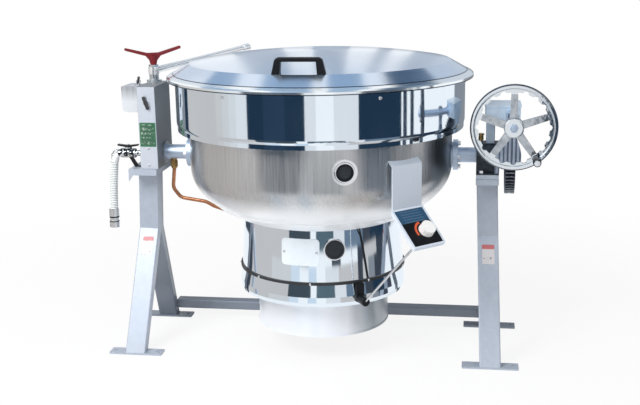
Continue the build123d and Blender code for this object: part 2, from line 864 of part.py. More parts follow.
# Blank plate bent round the casing, with two screws.
with BuildPart() as blank_plate:
    with BuildSketch(radial_plane(blank_azimuth, 0, blank_z)):
        RectangleRounded(blank_width, blank_height, blank_corner)
    extrude(amount=casing_bottom_radius + 10)
    plate_solid = [(r + blank_thickness if r > 0 else 0, z) for r, z in casing_solid]
    revolve(ring(plate_solid), axis=Axis.Z, mode=Mode.INTERSECT)
    revolve(ring(casing_solid), axis=Axis.Z, mode=Mode.SUBTRACT)
finish(blank_plate, "blank_plate")

# Bracket arm: a plate bent from the bowl wall down to the control panel.
arm_plane = radial_plane(control_azimuth, 0, 0)
panel_frame = radial_plane(control_azimuth, arm_plate_radius + arm_plate_thickness, panel_top_z)
side_of_bowl = Plane(origin=(0, 0, 0), x_dir=arm_plane.z_dir, z_dir=-arm_plane.x_dir)
arm_profile = [
    (jacket_radius - arm_plate_gap / 2, arm_top_z + arm_bend + arm_plate_thickness),
    (jacket_radius - arm_plate_gap / 2, arm_top_z + arm_bend),
    (arm_plate_radius, arm_top_z),
    (arm_plate_radius, panel_top_z - arm_bend),
    (arm_plate_radius + arm_plate_thickness, panel_top_z - arm_bend),
    (arm_plate_radius + arm_plate_thickness, arm_top_z + arm_plate_thickness / 2),
]
with BuildPart() as control_bracket:
    with BuildSketch(side_of_bowl):
        with BuildLine():
            Polyline(*arm_profile, close=True)
        make_face()
    extrude(amount=arm_plate_width / 2, both=True)
    revolve(dish(jacket_radius, jacket_depth, jacket_top_z), axis=Axis.Z, mode=Mode.SUBTRACT)
finish(control_bracket, "control_bracket")

# Sloping control tray: a shallow box with a raised border, hung on the bracket plate.
outward = arm_plane.z_dir
slope = radians(panel_tilt)
down_slope = Vector(outward.X * cos(slope), outward.Y * cos(slope), -sin(slope))
panel_normal = Vector(outward.X * sin(slope), outward.Y * sin(slope), cos(slope))
panel_origin = Vector(panel_frame.origin) + down_slope * (panel_length / 2)
panel_plane = Plane(origin=panel_origin, x_dir=arm_plane.x_dir, z_dir=panel_normal)
with BuildPart() as control_tray:
    with BuildSketch(panel_plane):
        RectangleRounded(panel_width, panel_length, 4)
    extrude(amount=-panel_depth)
    with BuildSketch(panel_plane):
        RectangleRounded(panel_width - 2 * panel_border, panel_length - 2 * panel_border, 2)
    extrude(amount=-panel_recess, mode=Mode.SUBTRACT)
    with BuildSketch(side_of_bowl):
        with BuildLine():
            Polyline(
                (0, panel_top_z - 3 * panel_depth),
                (0, panel_top_z + panel_depth),
                (arm_plate_radius + arm_plate_thickness, panel_top_z + panel_depth),
                (arm_plate_radius + arm_plate_thickness, panel_top_z - 3 * panel_depth),
                close=True,
            )
        make_face()
    extrude(amount=panel_width, both=True, mode=Mode.SUBTRACT)
finish(control_tray, "control_tray")

# Face plates in the tray: an upper plain field and a lower dial field with the knob's bush.
field_width = panel_width - 2 * panel_border - 1
lower_length = panel_length - 2 * panel_border - upper_length - 2
upper_centre = panel_length / 2 - panel_border - 0.5 - upper_length / 2
lower_centre = -panel_length / 2 + panel_border + 0.5 + lower_length / 2
knob_u = knob_side_share * panel_width
knob_v = -knob_down_share * panel_length
with BuildPart() as control_face:
    with BuildSketch(panel_plane.offset(-panel_recess)):
        with Locations((0, upper_centre)):
            RectangleRounded(field_width, upper_length, field_corner)
        with Locations((0, lower_centre)):
            RectangleRounded(field_width, lower_length, field_corner)
    extrude(amount=field_thickness)
    with BuildSketch(panel_plane.offset(field_thickness - panel_recess)):
        with Locations((knob_u, knob_v)):
            Circle(knob_bush_radius)
    extrude(amount=knob_bush_height)
finish(control_face, "control_face")

# White knob with a waisted grip, turning on the bush.
knob_floor = field_thickness - panel_recess + 0.6
with BuildPart() as control_knob:
    with BuildSketch(panel_plane.offset(knob_floor)):
        with Locations((knob_u, knob_v)):
            Circle(knob_radius)
    extrude(amount=knob_height, taper=3)
    with BuildSketch(panel_plane.offset(knob_floor)):
        with Locations((knob_u, knob_v)):
            Circle(knob_bush_radius + shaft_fit)
    extrude(amount=knob_bush_height + 0.4, mode=Mode.SUBTRACT)
    with BuildSketch(panel_plane.offset(knob_floor + 6)):
        with Locations((knob_u, knob_v)):
            with PolarLocations(knob_radius + knob_cut_offset, knob_cuts):
                Circle(knob_cut_radius)
    extrude(amount=knob_height, mode=Mode.SUBTRACT)
finish(control_knob, "control_knob")

# Gas valve on the belt: a bracket, and a body that takes the control rod's lower end.
valve_z = belt_bottom_z + valve_rise
rod_foot = radial_plane(valve_azimuth, belt_radius + valve_reach, valve_z)
rod_top = panel_origin + down_slope * (panel_length / 2 - rod_inset)
rod_top = rod_top - panel_normal * (panel_depth + rod_clip_height)
rod_top = rod_top - arm_plane.x_dir * (panel_width / 2 - rod_inset)
rod_plane = Plane(origin=rod_top, z_dir=rod_foot.origin - rod_top)
rod_length = (rod_foot.origin - rod_top).length
with BuildPart() as burner_valve:
    with BuildSketch(radial_plane(valve_azimuth, belt_radius - valve_seat, valve_z + valve_plate_height / 3)):
        RectangleRounded(valve_plate_width, valve_plate_height, 3)
    extrude(amount=valve_seat + valve_plate_thickness)
    with BuildSketch(radial_plane(valve_azimuth, belt_radius, valve_z)):
        Circle(valve_radius)
    extrude(amount=valve_reach + rod_radius + 2)
    with BuildSketch(Plane.XY.offset(belt_bottom_z - valve_plate_height)):
        Circle(belt_radius)
    extrude(amount=belt_height + 3 * valve_plate_height, mode=Mode.SUBTRACT)
    with BuildSketch(rod_plane):
        Circle(rod_radius)
    extrude(amount=rod_length, mode=Mode.SUBTRACT)
finish(burner_valve, "burner_valve")

# Thin control rod, with the clip under the tray that holds its top.
with BuildPart() as control_rod:
    with BuildSketch(rod_plane):
        Circle(rod_radius)
    extrude(amount=rod_length)
    with BuildSketch(Plane(origin=rod_top, x_dir=arm_plane.x_dir, z_dir=panel_normal)):
        Rectangle(rod_clip_width, rod_clip_width)
    extrude(amount=rod_clip_height)
finish(control_rod, "control_rod")

# Thin conduit from the jacket's skirt down the casing to the seam. Its route lists azimuth,
# distance off the casing, and height.
conduit_route = (
    (-61.0, 42.0, casing_top_z + 32),
    (-56.5, 8.0, casing_top_z + 2),
    (-54.5, 0.5, casing_top_z - 24),
    (-52.0, 0.5, casing_top_z - 92),
    (-50.0, 0.5, seam_bottom_z + seam_height + 2),
)
conduit_points = [
    tuple(radial_plane(azimuth, casing_radius(height) + conduit_radius + gap, height).origin)
    for azimuth, gap, height in conduit_route
]
conduit_bar = tube(conduit_points, conduit_bends, conduit_radius).part
with BuildPart() as casing_conduit:
    add(conduit_bar)
    revolve(dish(jacket_radius + band_wall, jacket_depth + band_wall, axis_z), axis=Axis.Z, mode=Mode.SUBTRACT)
finish(casing_conduit, "casing_conduit")

# Brass union below the left trunnion and the copper gas pipe that it feeds.
union_bottom_z = axis_z - trunnion_radius - union_drop
with BuildPart() as gas_union:
    with BuildSketch(Plane.XY.offset(union_bottom_z)):
        with Locations((union_x, 0)):
            Circle(union_radius)
    extrude(amount=union_drop + trunnion_radius / 2)
    with BuildSketch(Plane.XY.offset(union_bottom_z + union_nut_lift)):
        with Locations((union_x, 0)):
            RegularPolygon(union_nut_radius, 6, major_radius=False)
    extrude(amount=union_nut_height)
    trunnion_side = disc_x(union_x - 2 * union_nut_radius, trunnion_radius)
    extrude(trunnion_side, amount=4 * union_nut_radius, mode=Mode.SUBTRACT)
finish(gas_union, "gas_union")

copper_points = [
    (union_x, 0, union_bottom_z),
    (union_x - 7, 0, union_bottom_z - 66),
    (union_x + 17, 0, union_bottom_z - 98),
    (union_x + 101, 0, union_bottom_z - 111),
    (union_x + 127, 0, union_bottom_z - 125),
    (-casing_top_radius + 4, 0, union_bottom_z - 161),
]
copper_bar = tube(copper_points, copper_bends, copper_radius).part
with BuildPart() as copper_pipe:
    add(copper_bar)
    revolve(ring(casing_solid), axis=Axis.Z, mode=Mode.SUBTRACT)
finish(copper_pipe, "copper_pipe")

# ======== Stands ========

lean = radians(stand_lean)


def stand_plane(head_x, head_z, side):
    """Side view plane of a stand, leaning so that its feet stand further out than its head."""
    origin = (head_x + side * head_z * tan(lean), 0, 0)
    return Plane(origin=origin, x_dir=(0, 1, 0), z_dir=(cos(lean), 0, side * sin(lean)))


left_column_z = left_cap_z - left_cap_wall
right_column_z = right_cap_z - right_cap_height
stand_sides = (
    ("left", -1, left_head_x, left_column_z),
    ("right", 1, right_head_x, right_column_z),
)
foot_half = leg_thickness * foot_cut_share
leg_run = (foot_spread + foot_half - leg_thickness) / (bend_z - foot_thickness)
crotch_z = foot_thickness + (foot_spread - foot_half) / leg_run
spare = 2 * leg_thickness       # length cut off square at each end of a leg

# Front and rear legs, bent outward below the column that they form together.
for name, side, head_x, head_z in stand_sides:
    for place, facing in (("front", -1), ("rear", 1)):
        with BuildPart() as leg:
            with BuildSketch(stand_plane(head_x, head_z, side)):
                with BuildLine():
                    Polyline(
                        (0, head_z + spare),
                        (facing * leg_thickness, head_z + spare),
                        (facing * leg_thickness, bend_z),
                        (facing * (foot_spread + foot_half + leg_run * spare), foot_thickness - spare),
                        (facing * (foot_spread - foot_half + leg_run * spare), foot_thickness - spare),
                        (0, crotch_z),
                        close=True,
                    )
                make_face()
            extrude(amount=leg_width / 2, both=True)
            long_edges = [
                edge for edge in leg.edges()
                if abs(edge.center().Y) > leg_thickness - 1 and abs(edge.tangent_at(0.5).X) < 0.5
            ]
            fillet(long_edges, radius=leg_corner)
            split(bisect_by=Plane.XY.offset(foot_thickness), keep=Keep.TOP)
            split(bisect_by=Plane.XY.offset(head_z), keep=Keep.BOTTOM)
        finish(leg, name + "_" + place + "_leg")

# Foot plates, each with two anchor holes.
with BuildPart() as foot_plates:
    for name, side, head_x, head_z in stand_sides:
        foot_x = head_x + side * (head_z - foot_thickness) * tan(lean)
        for facing in (-1, 1):
            with BuildSketch():
                with Locations((foot_x, facing * foot_centre_y)):
                    RectangleRounded(foot_length, foot_width, foot_corner)
                    with GridLocations(foot_hole_pitch, 0, 2, 1):
                        Circle(foot_hole_radius, mode=Mode.SUBTRACT)
            extrude(amount=foot_thickness)
finish(foot_plates, "foot_plates")

# Rear cross beam, welded between the rear legs.
left_leg_face = stand_plane(left_head_x, left_column_z, -1).offset(leg_width / 2)
right_leg_face = stand_plane(right_head_x, right_column_z, 1).offset(-leg_width / 2)
with BuildPart() as rear_beam:
    with BuildSketch(Plane.YZ):
        with Locations((beam_front_y + beam_depth / 2, beam_bottom_z + beam_height / 2)):
            RectangleRounded(beam_depth, beam_height, leg_corner)
    extrude(amount=right_head_x - left_head_x, both=True)
    split(bisect_by=left_leg_face, keep=Keep.TOP)
    split(bisect_by=right_leg_face, keep=Keep.BOTTOM)
finish(rear_beam, "rear_beam")

# Left cap: a tray folded down all round, with two gussets on the outside of the stand.
left_cap_bottom = left_cap_z - left_cap_height
left_cap_edge = left_head_x - left_cap_width / 2
with BuildPart() as left_cap:
    with BuildSketch(Plane.XY.offset(left_cap_bottom)):
        with Locations((left_head_x, 0)):
            Rectangle(left_cap_width, 2 * cap_half_y)
    extrude(amount=left_cap_height)
    with BuildSketch(Plane.XY.offset(left_cap_bottom)):
        with Locations((left_head_x, 0)):
            Rectangle(left_cap_width - 2 * left_cap_wall, 2 * (cap_half_y - left_cap_wall))
    extrude(amount=left_cap_height - left_cap_wall, mode=Mode.SUBTRACT)
    for station in (-cap_half_y, cap_half_y - left_cap_wall):
        with BuildSketch(Plane.XZ.offset(-station)):
            with BuildLine():
                Polyline(
                    (left_cap_edge, left_cap_bottom),
                    (left_head_x - leg_width / 2, left_cap_bottom),
                    (left_cap_edge, left_cap_bottom - gusset_height),
                    close=True,
                )
            make_face()
        extrude(amount=-left_cap_wall)
finish(left_cap, "left_cap")

# Right cap, a thick pad below the bearing.
with BuildPart() as right_cap:
    with BuildSketch(Plane.XY.offset(right_cap_z - right_cap_height)):
        with Locations((right_head_x, 0)):
            RectangleRounded(right_cap_width, 2 * cap_half_y, foot_corner)
    extrude(amount=right_cap_height)
finish(right_cap, "right_cap")

# ======== Left head: box, bush, water tap and gas fittings ========

box_outer_x = box_inner_x - box_width
box_centre_x = box_inner_x - box_width / 2
box_top_z = left_cap_z + box_height

# Folded head box, open at its front and bored for the bush.
with BuildPart() as head_box:
    with BuildSketch(Plane.XY.offset(left_cap_z)):
        with Locations((box_centre_x, 0)):
            Rectangle(box_width, 2 * box_half_y)
    extrude(amount=box_height)
    with BuildSketch(Plane.XY.offset(left_cap_z + box_wall)):
        with Locations((box_centre_x, -box_wall)):
            Rectangle(box_width - 2 * box_wall, 2 * box_half_y)
    extrude(amount=box_height - 2 * box_wall, mode=Mode.SUBTRACT)
    extrude(disc_x(box_inner_x - 2 * box_wall, bush_radius), amount=4 * box_wall, mode=Mode.SUBTRACT)
finish(head_box, "head_box")

# Cover plate that closes the front of the head box.
with BuildPart() as head_cover:
    with BuildSketch(Plane.XZ.offset(box_half_y)):
        with Locations((box_centre_x, left_cap_z + box_height / 2)):
            Rectangle(box_width - 2 * cover_margin, box_height - 2 * cover_margin)
    extrude(amount=cover_thickness)
finish(head_cover, "head_cover")

# Flanged bush that carries the left trunnion.
with BuildPart() as left_bush:
    extrude(disc_x(box_inner_x, collar_radius), amount=collar_width)
    extrude(disc_x(box_inner_x, bush_radius), amount=-bush_length)
    extrude(
        disc_x(box_inner_x - bush_length, trunnion_radius + shaft_fit),
        amount=bush_length + collar_width, mode=Mode.SUBTRACT,
    )
finish(left_bush, "left_bush")

# Cover on the outside of the head box, rounded below, with the seat of a small vent on top.
vent_x = box_outer_x - vent_inset
side_cover_top = side_cover_z + side_cover_height
with BuildPart() as side_cover:
    with BuildSketch(Plane.XZ.offset(-side_cover_half_y)) as cover_profile:
        with Locations((box_outer_x - side_cover_depth / 2, side_cover_z + side_cover_height / 2)):
            Rectangle(side_cover_depth, side_cover_height)
        outer_corners = cover_profile.vertices().group_by(Axis.X)[0]
        fillet(outer_corners.sort_by(Axis.Y)[0], radius=side_cover_corner)
    extrude(amount=2 * side_cover_half_y)
    with BuildSketch(Plane.XY.offset(side_cover_top)):
        with Locations((vent_x, 0)):
            RectangleRounded(vent_length, vent_width, vent_width / 3)
    extrude(amount=vent_height)
    with BuildSketch(Plane.XZ.offset(-vent_ring_width / 2)):
        with Locations((vent_x + vent_length / 3, side_cover_top + vent_height + vent_ring_radius - 1)):
            Circle(vent_ring_radius)
            Circle(vent_ring_radius / 2, mode=Mode.SUBTRACT)
    extrude(amount=vent_ring_width)
finish(side_cover, "side_cover")

# Water tap: flange and pillar on the head box, then a journal for the spout, a bonnet and a stem.
journal_radius = spout_hub_radius - spout_hub_wall
pillar_top_z = box_top_z + tap_flange_height + tap_body_height
spout_z = pillar_top_z + seat_gap
bonnet_z = spout_z + spout_hub_height + seat_gap
wing_z = bonnet_z + bonnet_height + seat_gap
with BuildPart() as tap_body:
    tap_steps = (
        (box_top_z, tap_flange_radius, tap_flange_height),
        (box_top_z, tap_body_radius, pillar_top_z - box_top_z),
        (pillar_top_z, journal_radius, bonnet_z - pillar_top_z),
        (bonnet_z + bonnet_height, stem_radius, stem_height),
    )
    for base, radius, height in tap_steps:
        with BuildSketch(Plane.XY.offset(base)):
            with Locations((tap_x, tap_y)):
                Circle(radius)
        extrude(amount=height)
    with BuildSketch(Plane.XY.offset(bonnet_z)):
        with Locations((tap_x, tap_y)):
            RegularPolygon(bonnet_radius, 6, major_radius=False)
    extrude(amount=bonnet_height)
finish(tap_body, "tap_body")

# Swivelling spout with a nozzle, rising gently from its hub.
rise = radians(spout_rise)
heading = radians(spout_heading)
spout_dir = Vector(cos(heading) * cos(rise), sin(heading) * cos(rise), sin(rise))
spout_start = Vector(tap_x, tap_y, spout_z + spout_hub_height / 2)
nozzle_start = spout_start + spout_dir * spout_length
with BuildPart() as spout:
    with BuildSketch(Plane.XY.offset(spout_z)):
        with Locations((tap_x, tap_y)):
            Circle(spout_hub_radius)
    extrude(amount=spout_hub_height)
    with BuildSketch(Plane(origin=spout_start, z_dir=spout_dir)):
        Circle(spout_radius)
    extrude(amount=spout_length)
    with BuildSketch(Plane(origin=nozzle_start, z_dir=spout_dir)):
        Circle(nozzle_radius)
    extrude(amount=nozzle_length)
    with BuildSketch(Plane(origin=nozzle_start + spout_dir * nozzle_length, z_dir=spout_dir)):
        Circle(nozzle_radius - nozzle_wall)
    extrude(amount=-nozzle_length / 2, mode=Mode.SUBTRACT)
    with BuildSketch(Plane.XY.offset(spout_z)):
        with Locations((tap_x, tap_y)):
            Circle(journal_radius + shaft_fit)
    extrude(amount=spout_hub_height, mode=Mode.SUBTRACT)
finish(spout, "spout")

# Wing handle: a tapered hub on the stem that spreads into two rising wings.
wing_dir = (cos(radians(wing_rest)), sin(radians(wing_rest)), 0)
wing_plane = Plane(origin=(tap_x, tap_y, wing_z), x_dir=wing_dir, z_dir=(wing_dir[1], -wing_dir[0], 0))
wing_half_outline = (
    (wing_hub_radius * 0.75, 0),
    (wing_hub_radius, wing_hub_height * 0.35),
    (wing_hub_radius * 2, wing_hub_height * 0.74),
    (wing_span / 2, wing_hub_height + wing_rise - wing_bar / 2),
    (wing_span / 2, wing_hub_height + wing_rise + wing_bar / 2),
    (wing_hub_radius * 1.5, wing_hub_height),
)
with BuildPart() as tap_handle:
    with BuildSketch(wing_plane) as wings:
        with BuildLine():
            Polyline(*wing_half_outline, *[(-u, v) for u, v in reversed(wing_half_outline)], close=True)
        make_face()
        tips = wings.vertices().group_by(Axis.X)
        fillet(tips[0] + tips[-1], radius=wing_bar / 3)
    extrude(amount=wing_thickness / 2, both=True)
    with BuildSketch(Plane.XY.offset(wing_z)):
        with Locations((tap_x, tap_y)):
            Circle(wing_hub_radius * 0.75)
    extrude(amount=wing_hub_height * 0.8, taper=-8)
    with BuildSketch(Plane.XY.offset(wing_z)):
        with Locations((tap_x, tap_y)):
            Circle(stem_radius + shaft_fit)
    extrude(amount=stem_height, mode=Mode.SUBTRACT)
finish(tap_handle, "tap_handle")

# Gas inlet: nipple out of the box, cock with its stem, and the elbow that the hose hangs from.
elbow_end = (hose_x - elbow_lean, cock_y, cock_z - elbow_drop)
elbow_points = [(cock_x - cock_half_length, cock_y, cock_z), (hose_x, cock_y, cock_z), elbow_end]
elbow_bar = tube(elbow_points, elbow_bend, elbow_radius).part
cock_neck_z = cock_z + cock_radius + cock_neck_height
with BuildPart() as gas_cock:
    extrude(disc_x(box_outer_x, nipple_radius, cock_y, cock_z), amount=cock_x - box_outer_x)
    extrude(disc_x(cock_x - cock_half_length, cock_radius, cock_y, cock_z), amount=2 * cock_half_length)
    with BuildSketch(Plane.XY.offset(cock_z)):
        with Locations((cock_x, cock_y)):
            Circle(cock_radius * 0.75)
    extrude(amount=cock_neck_z - cock_z)
    with BuildSketch(Plane.XY.offset(cock_neck_z)):
        with Locations((cock_x, cock_y)):
            Circle(cock_stem_radius)
    extrude(amount=cock_stem_height)
    add(elbow_bar)
finish(gas_cock, "gas_cock")

# Butterfly lever of the gas cock.
lever_z = cock_neck_z + seat_gap
lever_half_outline = (
    (lever_half_length * 0.3, lever_z),
    (lever_half_length, lever_z + lever_lift),
    (lever_half_length, lever_z + lever_lift + lever_bar),
    (lever_half_length * 0.25, lever_z + lever_bar + 1),
)
with BuildPart() as gas_lever:
    with BuildSketch(Plane.XZ.offset(-cock_y)):
        with BuildLine():
            right_side = [(cock_x + u, v) for u, v in lever_half_outline]
            left_side = [(cock_x - u, v) for u, v in reversed(lever_half_outline)]
            Polyline(*right_side, *left_side, close=True)
        make_face()
    extrude(amount=lever_thickness / 2, both=True)
    with BuildSketch(Plane.XY.offset(lever_z)):
        with Locations((cock_x, cock_y)):
            Circle(cock_stem_radius + shaft_fit)
    extrude(amount=4 * lever_bar, mode=Mode.SUBTRACT)
finish(gas_lever, "gas_lever")

# Black strap that stays the gas cock on the cap.
strap_foot_x = left_cap_edge + strap_inset
with BuildPart() as gas_strap:
    with BuildSketch(Plane.XZ.offset(-cock_y)):
        with BuildLine():
            Polyline(
                (cock_x - strap_bar, cock_z),
                (cock_x + strap_bar, cock_z),
                (strap_foot_x + 2 * strap_bar, left_cap_z + strap_bar),
                (strap_foot_x + 5 * strap_bar, left_cap_z + strap_bar),
                (strap_foot_x + 5 * strap_bar, left_cap_z),
                (strap_foot_x, left_cap_z),
                close=True,
            )
        make_face()
    extrude(amount=strap_width / 2, both=True)
    extrude(
        disc_x(cock_x - 2 * cock_half_length, cock_radius, cock_y, cock_z),
        amount=4 * cock_half_length, mode=Mode.SUBTRACT,
    )
finish(gas_strap, "gas_strap")

# Hanging gas hose, in line with the elbow's end, then curving to the vertical.
hose_points = [
    elbow_end,
    (elbow_end[0] - elbow_lean * hose_upper_run / elbow_drop, cock_y, elbow_end[2] - hose_upper_run),
    (elbow_end[0] - elbow_lean * hose_upper_run / elbow_drop - hose_lower_lean, cock_y,
     elbow_end[2] - hose_upper_run - hose_lower_run),
]
upper_run = Vector(*hose_points[1]) - Vector(*hose_points[0])
lower_run = Vector(*hose_points[2]) - Vector(*hose_points[1])
hose_turn = upper_run.get_angle(lower_run)
hose_bend = 0.45 * min(upper_run.length, lower_run.length) / tan(radians(hose_turn) / 2)
print("hose bend radius", round(hose_bend, 1), "length", round(upper_run.length + lower_run.length, 1))
gas_hose = tube(hose_points, hose_bend, hose_radius)
finish(gas_hose, "gas_hose")

# Coupling on the hose's end, waisted in the middle, with a bore for the gas line.
hose_end = Vector(*hose_points[-1])
hose_dir = lower_run.normalized()
coupling_plane = Plane(origin=hose_end, x_dir=(0, 1, 0), z_dir=hose_dir)
with BuildPart() as hose_coupling:
    with BuildSketch(coupling_plane):
        Circle(hose_coupling_radius)
    extrude(amount=hose_coupling_length)
    with BuildSketch(coupling_plane.offset(hose_coupling_length / 2)):
        Circle(hose_coupling_radius)
        Circle(hose_coupling_radius - coupling_waist, mode=Mode.SUBTRACT)
    extrude(amount=hose_coupling_length / 8, mode=Mode.SUBTRACT)
    with BuildSketch(coupling_plane.offset(hose_coupling_length)):
        Circle(gas_bore_radius)
    extrude(amount=-gas_bore_depth, mode=Mode.SUBTRACT)
finish(hose_coupling, "hose_coupling")
gas_inlet = hose_end + hose_dir * hose_coupling_length
print("gas inlet", [round(v, 2) for v in gas_inlet], "facing", [round(v, 4) for v in hose_dir])

# ======== Right head: bearing, worm housing and pedestal ========

block_top_z = axis_z + block_flat
block_foot_half_y = block_radius + block_flare
with BuildPart() as right_bearing:
    with BuildSketch(Plane.YZ.offset(block_left_x)):
        with BuildLine():
            Polyline(
                (-block_radius, axis_z),
                (-block_foot_half_y, right_cap_z),
                (block_foot_half_y, right_cap_z),
                (block_radius, axis_z),
                close=True,
            )
        make_face()
        with Locations((0, axis_z)):
            Circle(block_radius)
        with Locations((0, right_cap_z + block_base_height / 2)):
            Rectangle(2 * block_base_half_y, block_base_height)
        with Locations((0, block_top_z + block_radius / 2)):
            Rectangle(3 * block_radius, block_radius, mode=Mode.SUBTRACT)
        with Locations((0, axis_z)):
            Circle(trunnion_radius + shaft_fit, mode=Mode.SUBTRACT)
    extrude(amount=block_width)
finish(right_bearing, "right_bearing")

# Worm housing and its post, one casting: bored for the worm and open below for the worm wheel.
worm_z = axis_z + worm_offset
housing_bottom_z = axis_z + housing_bottom_rise
housing_top_z = housing_bottom_z + housing_height
housing_width = worm_x + housing_right - housing_left_x
housing_centre_x = housing_left_x + housing_width / 2
with BuildPart() as worm_housing:
    with BuildSketch(Plane.XY.offset(housing_bottom_z)):
        with Locations((housing_centre_x, 0)):
            RectangleRounded(housing_width, 2 * housing_half_y, housing_corner)
    extrude(amount=housing_height)
    with BuildSketch(Plane.XY.offset(block_top_z)):
        with Locations((post_left_x + post_width / 2, 0)):
            RectangleRounded(post_width, 2 * post_half_y, foot_corner)
    extrude(amount=housing_bottom_z - block_top_z)
    with BuildSketch(Plane.XZ.offset(-housing_half_y)):
        with Locations((worm_x, worm_z)):
            Circle(worm_shaft_radius + shaft_fit)
    extrude(amount=2 * housing_half_y, mode=Mode.SUBTRACT)
    with BuildSketch(Plane.XZ.offset(-housing_half_y + housing_wall)):
        with Locations((worm_x, worm_z)):
            Circle(worm_radius + worm_room)
    extrude(amount=2 * (housing_half_y - housing_wall), mode=Mode.SUBTRACT)
    wheel_room = disc_x(gear_left_x - worm_room, rim_tip + worm_room)
    extrude(wheel_room, amount=gear_width + 2 * worm_room, mode=Mode.SUBTRACT)
finish(worm_housing, "worm_housing")

# Cover plate of the worm housing.
with BuildPart() as housing_cover:
    with BuildSketch(Plane.XY.offset(housing_top_z)):
        with Locations((housing_centre_x, 0)):
            RectangleRounded(
                housing_width + 2 * cover_overhang,
                2 * (housing_half_y + cover_overhang),
                housing_corner + cover_overhang,
            )
    extrude(amount=housing_cover_thickness)
finish(housing_cover, "housing_cover")

# Front bearing of the worm shaft: a ribbed bell round a boss, a side web, and an arm back to
# the bearing's base.
pedestal_back_y = pedestal_front_y + pedestal_thickness
pedestal_left_x = worm_x - pedestal_width / 2
pedestal_right_x = worm_x + pedestal_width / 2
arm_left_x = block_right_x - pedestal_arm_width
arm_bottom_z = pedestal_base_z - pedestal_foot
shoulder_height = pedestal_base_z + 0.33 * (worm_z - pedestal_base_z)
neck_height = pedestal_base_z + 0.58 * (worm_z - pedestal_base_z)
neck_half = pedestal_width / 4
with BuildPart() as worm_pedestal:
    with BuildSketch(Plane.XZ.offset(-pedestal_back_y)):
        with BuildLine():
            left_side = Spline(
                (pedestal_left_x, pedestal_base_z),
                (pedestal_left_x + 2, shoulder_height),
                (worm_x - neck_half, neck_height),
                (worm_x - pedestal_neck, worm_z),
            )
            right_side = Spline(
                (worm_x + pedestal_neck, worm_z),
                (worm_x + neck_half, neck_height),
                (pedestal_right_x - 2, shoulder_height),
                (pedestal_right_x, pedestal_base_z),
            )
            Line(left_side @ 1, right_side @ 0)
            Line(right_side @ 1, left_side @ 0)
        make_face()
        with Locations((worm_x, worm_z)):
            Circle(pedestal_boss)
    extrude(amount=pedestal_thickness)
    for station in (-1.5, -0.5, 0.5, 1.5):
        rib_top = neck_height if abs(station) < 1 else shoulder_height
        with BuildSketch(Plane.XZ.offset(-pedestal_front_y)):
            with Locations((worm_x + station * rib_pitch, (pedestal_base_z + rib_top) / 2)):
                SlotOverall(rib_top - pedestal_base_z, rib_width, rotation=90)
        extrude(amount=rib_height)
    with BuildSketch(Plane.XZ.offset(-pedestal_back_y)):
        with BuildLine():
            Polyline(
                (pedestal_left_x + 4, shoulder_height + web_rise),
                (arm_left_x, pedestal_base_z + web_foot),
                (arm_left_x, arm_bottom_z),
                (pedestal_right_x, arm_bottom_z),
                (pedestal_right_x, pedestal_base_z),
                close=True,
            )
        make_face()
    extrude(amount=pedestal_thickness - rib_height)
    with BuildSketch(Plane.YZ.offset(arm_left_x)):
        with BuildLine():
            Polyline(
                (pedestal_back_y, arm_bottom_z),
                (pedestal_back_y, pedestal_base_z),
                (-block_foot_half_y, pedestal_base_z),
                (-block_foot_half_y, right_cap_z + block_base_height),
                (-block_base_half_y, right_cap_z + block_base_height),
                close=True,
            )
        make_face()
    extrude(amount=pedestal_arm_width)
    with BuildSketch(Plane.XZ.offset(-pedestal_back_y)):
        with Locations((worm_x, worm_z)):
            Circle(worm_shaft_radius + shaft_fit)
    extrude(amount=pedestal_thickness, mode=Mode.SUBTRACT)
finish(worm_pedestal, "worm_pedestal")

# ======== Handwheel and worm ========

# Worm shaft: worm core, thrust collars at both ends of the housing, and the nut that holds the wheel.
wheel_back_y = wheel_y + wheel_hub_depth / 2
wheel_front_y = wheel_y - wheel_hub_depth / 2
collar_start = housing_half_y + seat_gap
with BuildPart() as worm_shaft:
    shaft_steps = (
        (collar_start + thrust_collar_width + 4, worm_shaft_radius, wheel_front_y),
        (worm_length / 2, worm_radius, -worm_length / 2),
        (collar_start + thrust_collar_width, thrust_collar_radius, collar_start),
        (-collar_start, thrust_collar_radius, -collar_start - thrust_collar_width),
        (wheel_front_y, hub_stud_radius, wheel_front_y - hub_nut_height - 3),
    )
    for back, radius, front in shaft_steps:
        with BuildSketch(Plane.XZ.offset(-back)):
            with Locations((worm_x, worm_z)):
                Circle(radius)
        extrude(amount=back - front)
    with BuildSketch(Plane.XZ.offset(-wheel_front_y)):
        with Locations((worm_x, worm_z)):
            RegularPolygon(hub_nut_radius, 6, major_radius=False)
    extrude(amount=hub_nut_height)
finish(worm_shaft, "worm_shaft")

